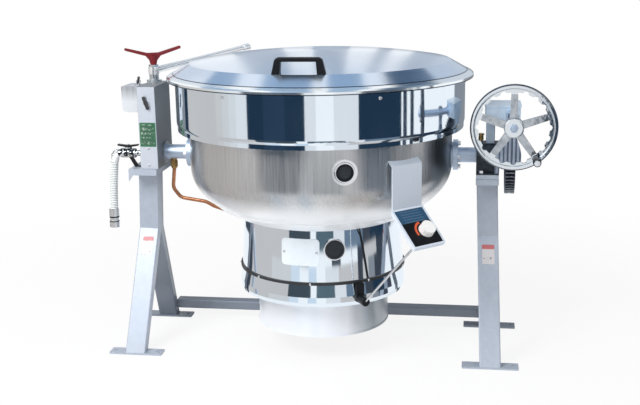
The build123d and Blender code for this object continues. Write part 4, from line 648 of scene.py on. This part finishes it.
def wall_screws(radius, height, wall_radius, z, azimuths):
    """Round heads on an upright round wall, as one mesh."""
    heads = []
    for azimuth in azimuths:
        out = outward(azimuth)
        place = out * wall_radius + Vector((0, 0, z))
        heads.append(turned(screw_profile(radius, height), place, out))
    return gathered(heads)


drum_radius = 0.450
drum_screw_z = 0.857
drum_screw_azimuths = (-119.0, -60.0, 1.0, 62.0, 121.0, 181.0)
drum_screws = wall_screws(0.005, 0.003, drum_radius, drum_screw_z, drum_screw_azimuths)
made("drum_screws", *drum_screws, "kettle", bright_screws)

# ---------------- burner housing
# Mirror polished casing on a bulged belt and a plain skirt, with a dark seal and a ring of
# screws in the joint. Inside it, a cast ring burner stands over a perforated air plate.
seal_rubber = Finish("dark sealing strip", "dark_seal", Roughness=0.45)
seal_dust = seal_rubber.grain(200.0, 4.0)
seal_rubber.tint(seal_dust, (0.006, 0.007, 0.009), (0.03, 0.032, 0.035))
seal_rubber.relief(seal_dust, 0.0004, 0.4)
seal_rubber.dress("seam_seal")
burner_iron = Finish("burner iron", "burner_iron", Metallic=0.5)
burner_rust = burner_iron.grain(70.0, 6.0, 0.7)
burner_iron.tint(burner_rust, (0.06, 0.05, 0.045), (0.20, 0.12, 0.08))
burner_iron.dull(0.6 + burner_rust * 0.25)
burner_iron.relief(burner_rust, 0.001, 0.6)
burner_iron.dress("burner_ring")
air_steel = Finish("dull air plate", "satin_steel", Metallic=0.9)
air_soot = air_steel.grain(16.0, 5.0, 0.6)
air_steel.tint(air_soot, (0.42, 0.41, 0.40), (0.24, 0.22, 0.21))
air_steel.dull(0.35 + air_soot * 0.2)
air_steel.dress("air_plate")

seam_radius = 0.2650
seam_screw_z = 0.2750
seam_screw_azimuths = range(-130, 230, 40)
seam_screws = wall_screws(0.004, 0.0035, seam_radius, seam_screw_z, seam_screw_azimuths)
made("seam_screws", *seam_screws, "kettle", bright_screws)

blank_azimuth = -97.0
blank_z = 0.372
blank_face_radius = 0.2593
blank_screw_radius = blank_face_radius * 0.9915
blank_screw_reach = 0.051
blank_screw_spread = degrees(blank_screw_reach / blank_face_radius)
blank_ends = (blank_azimuth - blank_screw_spread, blank_azimuth + blank_screw_spread)
blank_screws = wall_screws(0.0045, 0.003, blank_screw_radius, blank_z, blank_ends)
made("blank_plate_screws", *blank_screws, "kettle", bright_screws)

# ---------------- glasses
# Sight glass on the jacket and peep glass on the casing: thick dark glass discs clamped in
# turned and polished steel rings.
ring_steel = Finish("polished ring steel", "bright_steel", Metallic=1.0)
ring_marks = ring_steel.grain(260.0, 3.0)
ring_colour = ring_steel.blend(ring_marks, (0.78, 0.80, 0.83), (0.93, 0.94, 0.96))
# Dark rings are painted on the polished frames as painted shade: inside the sight frame next to its
# glass with a thin grey line further out, and a band round the peep glass.
for ring_node, shade_start, shade_end, shade_colour in (
    ("sight_frame", -0.1, 0.0255, (0.02, 0.024, 0.03)),
    ("sight_frame", 0.0288, 0.0300, (0.16, 0.18, 0.21)),
    ("peep_frame", 0.0215, 0.030, (0.05, 0.06, 0.07)),
):
    ring_lo, ring_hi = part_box(ring_node)
    ring_middle = (Vector(ring_lo) + Vector(ring_hi)) / 2
    ring_side = Vector((-ring_middle.y, ring_middle.x, 0)).normalized()
    ring_across = ring_steel.along(ring_middle, ring_side)
    ring_reach = ring_across.reach(ring_steel.along(ring_middle, (0, 0, 1)))
    ring_shade_line = (ring_reach > shade_start) * (ring_reach < shade_end)
    ring_colour = ring_steel.blend(ring_shade_line, ring_colour, shade_colour)
ring_steel.drive("Base Color", ring_colour)
ring_steel.dull(0.06 + ring_marks * 0.12)
ring_steel.dress("sight_frame", "peep_frame")
dark_glass = Finish("dark inspection glass", "glass", Coat_Weight=0.12, Specular_IOR_Level=0.25)
glass_smears = dark_glass.grain(50.0, 4.0)
dark_glass.tint(glass_smears, (0.006, 0.010, 0.014), (0.025, 0.034, 0.042))
dark_glass.dull(0.05 + glass_smears * 0.08)
dark_glass.dress("sight_glass", "peep_glass")

# ---------------- lid
# Spun lid, brushed in rings, with a rolled edge, a black cast bow handle and two strap
# hinges at the back.
lid_steel = Finish(
    "ring brushed lid steel",
    "satin_steel",
    Metallic=1.0,
    Anisotropic=0.75,
    Anisotropic_Rotation=0.25,
)
lid_ring_rate = 700.0
lid_groove_radius = 0.4555
lid_groove_half = 0.0020
lid_rim_highlight_start = 0.4567
lid_edge_shadow_z = 0.8760
lid_x, lid_y = lid_steel.axis(0), lid_steel.axis(1)
lid_radius = lid_x.reach(lid_y)
lid_turning = lid_steel.node(
    "ShaderNodeCombineXYZ", {}, {0: lid_radius * lid_ring_rate, 1: lid_x * 2.0, 2: lid_y * 2.0}
)
lid_rings = lid_steel.node(
    "ShaderNodeTexNoise", {}, {"Vector": lid_turning, "Scale": 1.0, "Detail": 3.0, "Roughness": 0.6}
)
lid_hazes = lid_steel.grain(6.0, 3.0)
lid_colour = lid_steel.blend(lid_rings, (0.66, 0.76, 0.90), (0.78, 0.88, 1.0))
lid_colour = lid_steel.blend(lid_hazes * 0.3, lid_colour, (0.60, 0.68, 0.80))
# Beyond the groove the rim is painted paler as a painted highlight. The groove ring is painted dark
# as painted shade, and the lip's lower edge as painted shadow.
lid_colour = lid_steel.blend(lid_radius > lid_rim_highlight_start, lid_colour, (0.92, 0.97, 1.0))
lid_painted_shade = (lid_radius - lid_groove_radius).size() < lid_groove_half
lid_painted_shade = lid_painted_shade + (lid_steel.axis(2) < lid_edge_shadow_z)
lid_steel.tint(lid_painted_shade, lid_colour, (0.09, 0.12, 0.16))
lid_steel.dull(0.13 + lid_rings * 0.12)
lid_steel.relief(lid_rings, 0.0002, 0.3)
lid_steel.dress("lid_shell")
handle_black = Finish("black cast handle", "black_plastic", Specular_IOR_Level=0.18)
handle_pores = handle_black.grain(420.0, 3.0)
handle_black.tint(handle_pores, (0.003, 0.004, 0.006), (0.012, 0.014, 0.018))
handle_black.dull(0.24 + handle_pores * 0.2)
handle_black.relief(handle_pores, 0.0004, 0.35)
handle_black.dress("lid_handle")
hinge_steel = Finish("brushed hinge steel", "satin_steel", Metallic=1.0)
hinge_streaks = hinge_steel.grain((30.0, 500.0, 500.0), 3.0)
hinge_steel.tint(hinge_streaks, (0.54, 0.55, 0.57), (0.74, 0.75, 0.77))
hinge_steel.dull(0.2 + hinge_streaks * 0.2)
hinge_steel.dress("hinge_straps", "hinge_brackets", "hinge_pins")

# ---------------- trunnions
# Machined steel trunnions, bolted to bosses on the two sides of the jacket and left bright.
# The kettle tilts on them.
trunnion_steel = Finish("machined trunnion steel", "satin_steel", Metallic=1.0)
trunnion_rings = trunnion_steel.grain((260.0, 12.0, 12.0), 3.0)
trunnion_steel.tint(trunnion_rings, (0.50, 0.60, 0.74), (0.62, 0.72, 0.86))
trunnion_steel.dull(0.42 + trunnion_rings * 0.1)
trunnion_steel.relief(trunnion_rings, 0.0002, 0.4)
trunnion_steel.dress("left_trunnion", "right_trunnion")
bright_screws.dress("trunnion_bolts")

# ---------------- bearing and worm drive
# Dark bearing block with a grease cup on the right cap, a bright gear housing over the worm,
# a ribbed pedestal for the handwheel shaft, and the oiled worm wheel.
block_black = Finish("oily black casting", "black_paint", Metallic=0.3, Specular_IOR_Level=0.25)
block_grime = block_black.grain(60.0, 6.0, 0.65)
block_colour = block_black.blend(block_grime.power(2.0), (0.006, 0.009, 0.014), (0.14, 0.17, 0.21))
# The block's foot strip is painted light grey as a painted highlight.
block_highlight_top = 0.581
block_foot_highlight = block_black.axis(2) < block_highlight_top
block_black.tint(block_foot_highlight, block_colour, (0.50, 0.56, 0.64))
block_black.dull(0.25 + block_grime * 0.3)
block_black.relief(block_grime, 0.0012, 0.5)
block_black.dress("right_bearing")
housing_paint = Finish("light grey housing enamel", "grey_paint", Coat_Weight=0.4, Metallic=0.1)
housing_dirt = housing_paint.grain(45.0, 5.0, 0.6)
housing_paint.tint(housing_dirt.power(2.0), (0.64, 0.78, 0.92), (0.26, 0.34, 0.44))
housing_paint.dull(0.25 + housing_dirt * 0.2)
housing_paint.relief(housing_dirt, 0.0008, 0.3)
housing_paint.dress("worm_housing", "housing_cover")
pedestal_iron = Finish("blued cast pedestal", "gear_steel", Metallic=0.8)
pedestal_bloom = pedestal_iron.grain((70.0, 70.0, 40.0), 5.0, 0.6)
pedestal_x = pedestal_iron.axis(0)
# Dark upright stripes at the rib pitch are painted between the paler ribs as painted shade.
pedestal_rib_pitch = 0.012
pedestal_groove_shade = pedestal_x.maths("SINE", pedestal_x * (tau / pedestal_rib_pitch)) > 0.25
pedestal_colour = pedestal_iron.blend(pedestal_bloom, (0.20, 0.25, 0.33), (0.66, 0.75, 0.88))
pedestal_iron.tint(pedestal_groove_shade * 0.75, pedestal_colour, (0.04, 0.06, 0.10))
pedestal_iron.dull(0.22 + pedestal_bloom * 0.25)
pedestal_iron.relief(pedestal_bloom, 0.0009, 0.4)
pedestal_iron.dress("worm_pedestal")
gear_oiled = Finish("oiled gear steel", "gear_steel", Metallic=1.0)
gear_marks = gear_oiled.grain((500.0, 60.0, 60.0), 4.0)
gear_oiled.tint(gear_marks, (0.10, 0.12, 0.15), (0.32, 0.35, 0.40))
gear_oiled.dull(0.2 + gear_marks * 0.25)
gear_oiled.dress("worm_wheel")
trunnion_steel.dress("worm_shaft")

tilt_axis_z = 0.627
gear_nut_x = 0.6045
gear_nut_profile = [
    (0, -0.001), (0.025, -0.001), (0.025, 0.007), (0.0225, 0.009), (0.0175, 0.009), (0, 0.009),
]
gear_nut = turned(gear_nut_profile, (gear_nut_x, 0, tilt_axis_z), (1, 0, 0), sides=6)
made("gear_nut", *gear_nut, "kettle", bright_screws)
base_bolt_x, base_bolt_y, base_bolt_z = 0.5035, 0.071, 0.585
base_bolt_profile = [(0, -0.0006), (0.010, -0.0006), (0.010, 0.0065), (0.0088, 0.008), (0, 0.008)]
base_bolts = [
    turned(base_bolt_profile, (base_bolt_x, y, base_bolt_z), (0, 0, 1), sides=6)
    for y in (-base_bolt_y, base_bolt_y)
]
made("bearing_bolts", *gathered(base_bolts), "stand", bright_screws)

grease_brass = Finish("grease cup brass", "brass", Metallic=1.0)
brass_tarnish = grease_brass.grain(110.0, 5.0, 0.6)
grease_brass.tint(brass_tarnish, (0.62, 0.44, 0.16), (0.24, 0.15, 0.05))
grease_brass.dull(0.18 + brass_tarnish * 0.25)
cup_profile = [
    (0, -0.001), (0.005, -0.001), (0.005, 0.006), (0.008, 0.007), (0.008, 0.018), (0.0065, 0.019),
    (0.0065, 0.0205), (0.0098, 0.0215), (0.0098, 0.0255), (0.0085, 0.027), (0, 0.027),
]
cup_place = (0.501, 0.0, 0.668)
made("grease_cup", *turned(cup_profile, cup_place, (0, 0, 1), sides=32), "stand", grease_brass)

worm_axis = Vector((0.590, 0.0, 0.762))
worm_core_radius = 0.017
worm_module = 0.004
worm_lead = worm_module * pi
thread_height = 0.0016
thread_sunk = 0.0006
thread_foot, thread_crest = 0.0036, 0.0016
thread_half_length = 0.040
thread_steps = 24
thread_vertices, thread_faces = [], []
thread_count = int(2 * thread_half_length / worm_lead * thread_steps)
for k in range(thread_count + 1):
    angle = tau * k / thread_steps
    at_y = -thread_half_length + worm_lead * k / thread_steps
    around = Vector((cos(angle), 0, sin(angle)))
    for radius, shift in (
        (worm_core_radius - thread_sunk, -thread_foot),
        (worm_core_radius + thread_height, -thread_crest),
        (worm_core_radius + thread_height, thread_crest),
        (worm_core_radius - thread_sunk, thread_foot),
    ):
        thread_vertices.append(worm_axis + around * radius + Vector((0, at_y + shift, 0)))
for k in range(thread_count):
    for c in range(4):
        n = (c + 1) % 4
        thread_faces.append((4 * k + c, 4 * k + n, 4 * k + 4 + n, 4 * k + 4 + c))
thread_faces += [(3, 2, 1, 0), tuple(4 * thread_count + c for c in range(4))]
made("worm_thread", thread_vertices, thread_faces, "handwheel", gear_oiled)

# ---------------- handwheel
# Cast five spoke handwheel, chromed and polished, with finger scallops inside its rim. Its
# turned steel grip, painted near black outside its bright round end as painted reflection, revolves
# on its pin.
wheel_hub_radius = 0.027
wheel_spoke_end = 0.094
wheel_reflection_start, wheel_reflection_end = 0.1185, 0.126
wheel_chrome = Finish("polished wheel chrome", "cast_chrome", Metallic=1.0)
wheel_cloud = wheel_chrome.grain(30.0, 4.0)
wheel_x = wheel_chrome.along(worm_axis, (1, 0, 0))
wheel_z = wheel_chrome.along(worm_axis, (0, 0, 1))
wheel_reach = wheel_x.reach(wheel_z)
wheel_mottle = wheel_chrome.grain(55.0, 4.0, 0.65)
wheel_colour = wheel_chrome.blend(wheel_cloud, (0.78, 0.84, 0.88), (0.88, 0.93, 0.97))
wheel_spokes = (wheel_reach > wheel_hub_radius) * (wheel_reach < wheel_spoke_end)
wheel_colour = wheel_chrome.blend(wheel_spokes * wheel_mottle, wheel_colour, (0.16, 0.18, 0.22))
# A dark band round the rim's outer edge is a painted reflection.
wheel_edge_reflection = (wheel_reach > wheel_reflection_start) * (wheel_reach < wheel_reflection_end)
wheel_chrome.tint(wheel_edge_reflection, wheel_colour, (0.10, 0.12, 0.15))
wheel_chrome.dull(0.05 + wheel_cloud * 0.1)
wheel_chrome.relief(wheel_chrome.grain(70.0, 2.0), 0.0015, 0.2)
wheel_chrome.dress("handwheel")
grip_chrome = Finish("turned grip with painted reflection", "bright_steel", Metallic=1.0)
grip_lo, grip_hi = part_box("crank_grip")
grip_middle = (Vector(grip_lo) + Vector(grip_hi)) / 2
grip_x = grip_chrome.along(grip_middle, (1, 0, 0))
grip_z = grip_chrome.along(grip_middle, (0, 0, 1))
grip_reach = grip_x.reach(grip_z)
# Outside this radius from its middle the grip is painted near black as painted reflection.
grip_reflection_radius = 0.0085
grip_marks = grip_chrome.grain(260.0, 3.0)
grip_colour = grip_chrome.blend(grip_marks, (0.80, 0.82, 0.84), (0.92, 0.93, 0.95))
grip_chrome.tint(grip_reach > grip_reflection_radius, grip_colour, (0.012, 0.014, 0.018))
grip_chrome.dull(0.1 + grip_marks * 0.15)
grip_chrome.dress("crank_grip")

# ---------------- controls
# Bent bracket plate with a sloping tray. The tray's printed film has a blue field above and a
# black dial field below with an orange arc beside the white knob.
bracket_steel = Finish("pale bracket steel", "satin_steel", Metallic=0.3)
bracket_streaks = bracket_steel.grain((300.0, 300.0, 12.0), 3.0)
bracket_steel.tint(bracket_streaks, (0.72, 0.80, 0.91), (0.80, 0.87, 0.97))
bracket_steel.dull(0.24 + bracket_streaks * 0.15)
bracket_steel.relief(bracket_streaks, 0.0002, 0.3)
bracket_steel.dress("control_bracket", "control_tray")

panel_azimuth = -46.5
panel_tilt = radians(41.0)
panel_top_radius, panel_top_z = 0.427, 0.530
panel_top = outward(panel_azimuth) * panel_top_radius + Vector((0, 0, panel_top_z))
panel_across = outward(panel_azimuth + 90.0)
panel_normal = outward(panel_azimuth) * sin(panel_tilt) + Vector((0, 0, cos(panel_tilt)))
panel_up = panel_normal.cross(panel_across)
panel_width = 0.116
panel_length = 0.137
panel_middle = panel_top - panel_up * (panel_length / 2)
knob_offset = 0.13
knob_centre = panel_middle + panel_across * (knob_offset * panel_width)
knob_centre = knob_centre - panel_up * (knob_offset * panel_length)
arc_radius = 0.0315
arc_half_width = 0.0036
arc_middle, arc_half_turn = 0.55, 0.85
film_row_half = 0.036
film_row_rate = 700.0
film_split = 0.0165

panel_film = Finish("printed panel film", "panel_film", Roughness=0.4, Specular_IOR_Level=0.15)
film_v = panel_film.along(panel_middle, panel_up)
dial_u = panel_film.along(knob_centre, panel_across)
dial_v = panel_film.along(knob_centre, panel_up)
dial_radius = dial_u.reach(dial_v)
dial_angle = dial_v.maths("ARCTAN2", dial_v, dial_u * -1.0)
arc = (dial_radius - arc_radius).size() < arc_half_width
arc = arc * ((dial_angle - arc_middle).size() < arc_half_turn)
film_scuffs = panel_film.grain(160.0, 4.0)
film_rows = film_v.maths("SINE", film_v * film_row_rate) > 0.55
film_marks = film_rows * (panel_film.along(panel_middle, panel_across).size() < film_row_half)
blue_field = panel_film.blend(film_scuffs, (0.018, 0.06, 0.125), (0.035, 0.10, 0.185))
blue_field = panel_film.blend(film_marks * 0.4, blue_field, (0.14, 0.24, 0.36))
dial_field = panel_film.blend(arc, (0.003, 0.004, 0.006), (0.66, 0.11, 0.045))
panel_film.tint(film_v > film_split, dial_field, blue_field)
panel_film.dress("control_face")

knob_white = Finish("glossy white knob", "white_plastic", Coat_Weight=0.3)
knob_tint = knob_white.grain(60.0, 3.0)
knob_white.tint(knob_tint, (0.96, 0.96, 0.95), (0.90, 0.90, 0.88))
knob_white.dull(0.2 + knob_tint * 0.12)
knob_white.relief(knob_white.grain(300.0), 0.0003, 0.2)
knob_white.dress("control_knob")

# ---------------- rod, valve and pipes
# Bright linkage rod down to the black burner valve, its black conduit along the casing, and
# the bent copper pipe from the trunnion's union to the jacket.
rod_steel = Finish("drawn rod steel", "bright_steel", Metallic=1.0)
rod_draw = rod_steel.grain((90.0, 90.0, 30.0), 3.0)
rod_steel.tint(rod_draw, (0.52, 0.54, 0.57), (0.74, 0.76, 0.79))
rod_steel.dull(0.16 + rod_draw * 0.2)
rod_steel.dress("control_rod")
black_lacquer.dress("burner_valve")
conduit_black = Finish("black conduit", "black_plastic", Roughness=0.4, Specular_IOR_Level=0.18)
conduit_scuffs = conduit_black.grain((200.0, 200.0, 60.0), 3.0)
conduit_black.tint(conduit_scuffs, (0.004, 0.005, 0.006), (0.02, 0.021, 0.024))
conduit_black.dress("casing_conduit")
copper_tube = Finish("drawn copper tube", "copper", Metallic=1.0)
copper_tarnish = copper_tube.grain(55.0, 5.0, 0.6)
copper_tube.tint(copper_tarnish, (0.88, 0.42, 0.22), (0.26, 0.09, 0.05))
copper_tube.dull(0.16 + copper_tarnish * 0.22)
copper_tube.dress("copper_pipe")
union_bronze = Finish("dark union bronze", "brass", Metallic=1.0)
union_tarnish = union_bronze.grain(90.0, 5.0, 0.6)
union_bronze.tint(union_tarnish, (0.90, 0.58, 0.22), (0.08, 0.035, 0.015))
union_bronze.dull(0.2 + union_tarnish * 0.25)
union_bronze.dress("gas_union")

# ---------------- studio
# White floor that fades into a white surround, two soft lamps, and a ring of pale and dark
# screens that only the polished steel sees.
scene = bpy.context.scene
scene.view_settings.view_transform = "Standard"

floor_radius = 3.4
floor_sides = 96
floor_fade_start, floor_fade_end = 0.9, 2.2
floor_shade = 0.86
floor_mesh = bpy.data.meshes.new("floor")
floor_edge = [
    (floor_radius * cos(tau * k / floor_sides), floor_radius * sin(tau * k / floor_sides), 0)
    for k in range(floor_sides)
]
floor_mesh.from_pydata(floor_edge, [], [tuple(range(floor_sides))])
floor = bpy.data.objects.new("floor", floor_mesh)
scene.collection.objects.link(floor)
floor_paper = bpy.data.materials.new("white floor paper")
floor_mesh.materials.append(floor_paper)
paper = Tree(floor_paper)
paper.nodes.clear()
paper_place = paper.node("ShaderNodeTexCoord", output="Object")
paper_reach = paper.node("ShaderNodeVectorMath", {"operation": "LENGTH"}, {0: paper_place}, "Value")
paper_fade = paper.rise(paper_reach, floor_fade_start, floor_fade_end, floor_shade)
paper_rays = paper.node("ShaderNodeLightPath", output="Is Diffuse Ray")
paper_seen = paper_fade * (1.0 - paper_rays)
paper_diffuse = paper.node("ShaderNodeBsdfDiffuse", {}, {"Color": (0.93, 0.93, 0.93, 1.0)})
paper_glow = paper.node("ShaderNodeEmission", {}, {"Color": (1.0, 1.0, 1.0, 1.0), "Strength": 1.0})
paper_mix = paper.node("ShaderNodeMixShader", {}, {0: paper_seen, 1: paper_diffuse, 2: paper_glow})
paper.node("ShaderNodeOutputMaterial", {}, {"Surface": paper_mix})

screen_profile = ((0.46, 0.004), (1.35, 0.006), (1.35, 1.9), (1.2, 2.2), (0.001, 2.2))
screen_steps = 144
screen_vertices = [
    (radius * sin(tau * k / screen_steps), -radius * cos(tau * k / screen_steps), height)
    for radius, height in screen_profile
    for k in range(screen_steps)
]
screen_faces = []
for low in range(0, screen_steps * (len(screen_profile) - 1), screen_steps):
    high = low + screen_steps
    for k in range(screen_steps):
        n = (k + 1) % screen_steps
        screen_faces.append((low + k, low + n, high + n, high + k))
screen_mesh = bpy.data.meshes.new("screens")
screen_mesh.from_pydata(screen_vertices, [], screen_faces)
screens = bpy.data.objects.new("screens", screen_mesh)
scene.collection.objects.link(screens)
screens.visible_camera = False
screens.visible_diffuse = False
screens.visible_shadow = False
screens.visible_transmission = False
screen_cloth = bpy.data.materials.new("screen cloth")
screen_mesh.materials.append(screen_cloth)
cloth = Tree(screen_cloth)
cloth.nodes.clear()
cloth_place = cloth.node("ShaderNodeTexCoord", output="Object")
cloth_x, cloth_y, cloth_z = (
    cloth.node("ShaderNodeSeparateXYZ", {}, {0: cloth_place}, index) for index in range(3)
)
cloth_turn = cloth_x.maths("ARCTAN2", cloth_x, cloth_y * -1.0) * (1 / tau) + 0.5
cloth_across = cloth_x * cos(camera_turn) + cloth_y * sin(camera_turn)
white, pale = (1.0, 1.0, 1.0), (0.82, 0.82, 0.83)
cream, grey = (0.62, 0.59, 0.57), (0.26, 0.28, 0.31)
navy, dusk = (0.016, 0.037, 0.068), (0.05, 0.06, 0.08)
slate, belt_dark = (0.16, 0.22, 0.29), (0.06, 0.08, 0.10)
steel_blue, sky_blue = (0.50, 0.55, 0.62), (0.33, 0.45, 0.60)
# Each list holds where a screen starts and its colour. The start is a share of the turn that
# begins behind the kettle and passes its left, and for the ceiling a share of the way across.
floor_bands = [
    (0.00, white), (0.18, dusk), (0.215, cream), (0.33, (0.70, 0.69, 0.68)),
    (0.41, (0.72, 0.80, 0.88)), (0.44, white), (0.47, (0.66, 0.76, 0.86)), (0.50, white),
    (0.53, pale), (0.575, cream), (0.645, dusk), (0.665, cream), (0.69, grey), (0.715, dusk),
    (0.76, white),
]
belt_bands = [
    (0.00, white), (0.14, belt_dark), (0.22, cream), (0.39, white), (0.435, belt_dark),
    (0.472, white), (0.552, belt_dark), (0.583, white), (0.645, dusk), (0.675, cream),
    (0.73, dusk), (0.79, white),
]
lower_bands = [
    (0.00, grey), (0.10, white), (0.15, navy), (0.18, grey), (0.205, navy), (0.22, cream),
    (0.40, belt_dark), (0.478, white), (0.50, (0.10, 0.15, 0.18)), (0.56, pale), (0.60, slate),
    (0.668, dusk), (0.70, navy), (0.82, cream), (0.87, grey),
]
upper_bands = [
    (0.00, grey), (0.10, white), (0.15, navy), (0.18, grey), (0.205, navy), (0.22, cream),
    (0.32, (0.66, 0.64, 0.62)), (0.335, (0.70, 0.69, 0.68)), (0.35, (0.75, 0.745, 0.745)),
    (0.365, pale), (0.388, navy), (0.42, (0.024, 0.05, 0.088)), (0.46, navy), (0.493, pale),
    (0.515, white), (0.545, pale), (0.587, navy), (0.668, white), (0.674, navy), (0.682, white),
    (0.688, navy), (0.697, white), (0.83, grey),
]
back_bands = [
    (0.00, white), (0.004, steel_blue), (0.026, white), (0.042, steel_blue), (0.067, white),
    (0.097, (0.72, 0.76, 0.82)), (0.15, white), (0.5, pale), (0.85, (0.60, 0.65, 0.72)),
    (0.955, steel_blue), (0.970, white), (0.981, steel_blue), (0.990, white),
]
overhead_bands = [
    (0.00, sky_blue), (0.165, white), (0.275, sky_blue), (0.466, white), (0.524, sky_blue),
    (0.664, white), (0.757, (0.07, 0.12, 0.19)), (0.90, (0.20, 0.27, 0.36)),
]
cloth_colour = None
# Heights between which each list takes over from the one below it.
for bands, across, starts, ends in (
    (floor_bands, cloth_turn, 0.0, 0.0),
    (belt_bands, cloth_turn, 0.105, 0.115),
    (lower_bands, cloth_turn, 0.16, 0.18),
    (upper_bands, cloth_turn, 0.46, 0.50),
    (back_bands, cloth_turn, 0.92, 1.02),
    (overhead_bands, cloth_across * 0.4 + 0.5, 1.88, 1.92),
):
    colour = cloth.node("ShaderNodeValToRGB", {"stops": bands}, {"Fac": across})
    if cloth_colour:
        cloth_colour = cloth.blend(cloth.rise(cloth_z, starts, ends), cloth_colour, colour)
    else:
        cloth_colour = colour
for node in cloth.nodes:
    if node.type == "VALTORGB":
        node.color_ramp.interpolation = "CONSTANT"
cloth_glow = cloth.node("ShaderNodeEmission", {}, {"Color": cloth_colour, "Strength": 1.0})
cloth.node("ShaderNodeOutputMaterial", {}, {"Surface": cloth_glow})

scene.world = bpy.data.worlds.new("white surround")
surround = Tree(scene.world)
surround.nodes.clear()
surround_diffuse = surround.node("ShaderNodeLightPath", output="Is Diffuse Ray")
surround_cut = 0.5
surround_strength = 1.0 - surround_diffuse * surround_cut
surround_glow = surround.node(
    "ShaderNodeBackground", {}, {"Color": (1.0, 1.0, 1.0, 1.0), "Strength": surround_strength}
)
surround.node("ShaderNodeOutputWorld", {}, {"Surface": surround_glow})

lamp_aim = Vector((0, 0, 0.5))
for lamp_name, lamp_place, lamp_power, lamp_size in (
    ("key_lamp", (-1.8, -2.6, 3.0), 120.0, 1.6),
    ("side_lamp", (2.6, -1.2, 2.2), 12.0, 1.4),
):
    lamp_data = bpy.data.lights.new(lamp_name, "AREA")
    lamp_data.energy = lamp_power
    lamp_data.size = lamp_size
    lamp = bpy.data.objects.new(lamp_name, lamp_data)
    lamp.location = lamp_place
    lamp.rotation_mode = "QUATERNION"
    lamp.rotation_quaternion = (lamp_aim - Vector(lamp_place)).to_track_quat("-Z", "Y")
    scene.collection.objects.link(lamp)
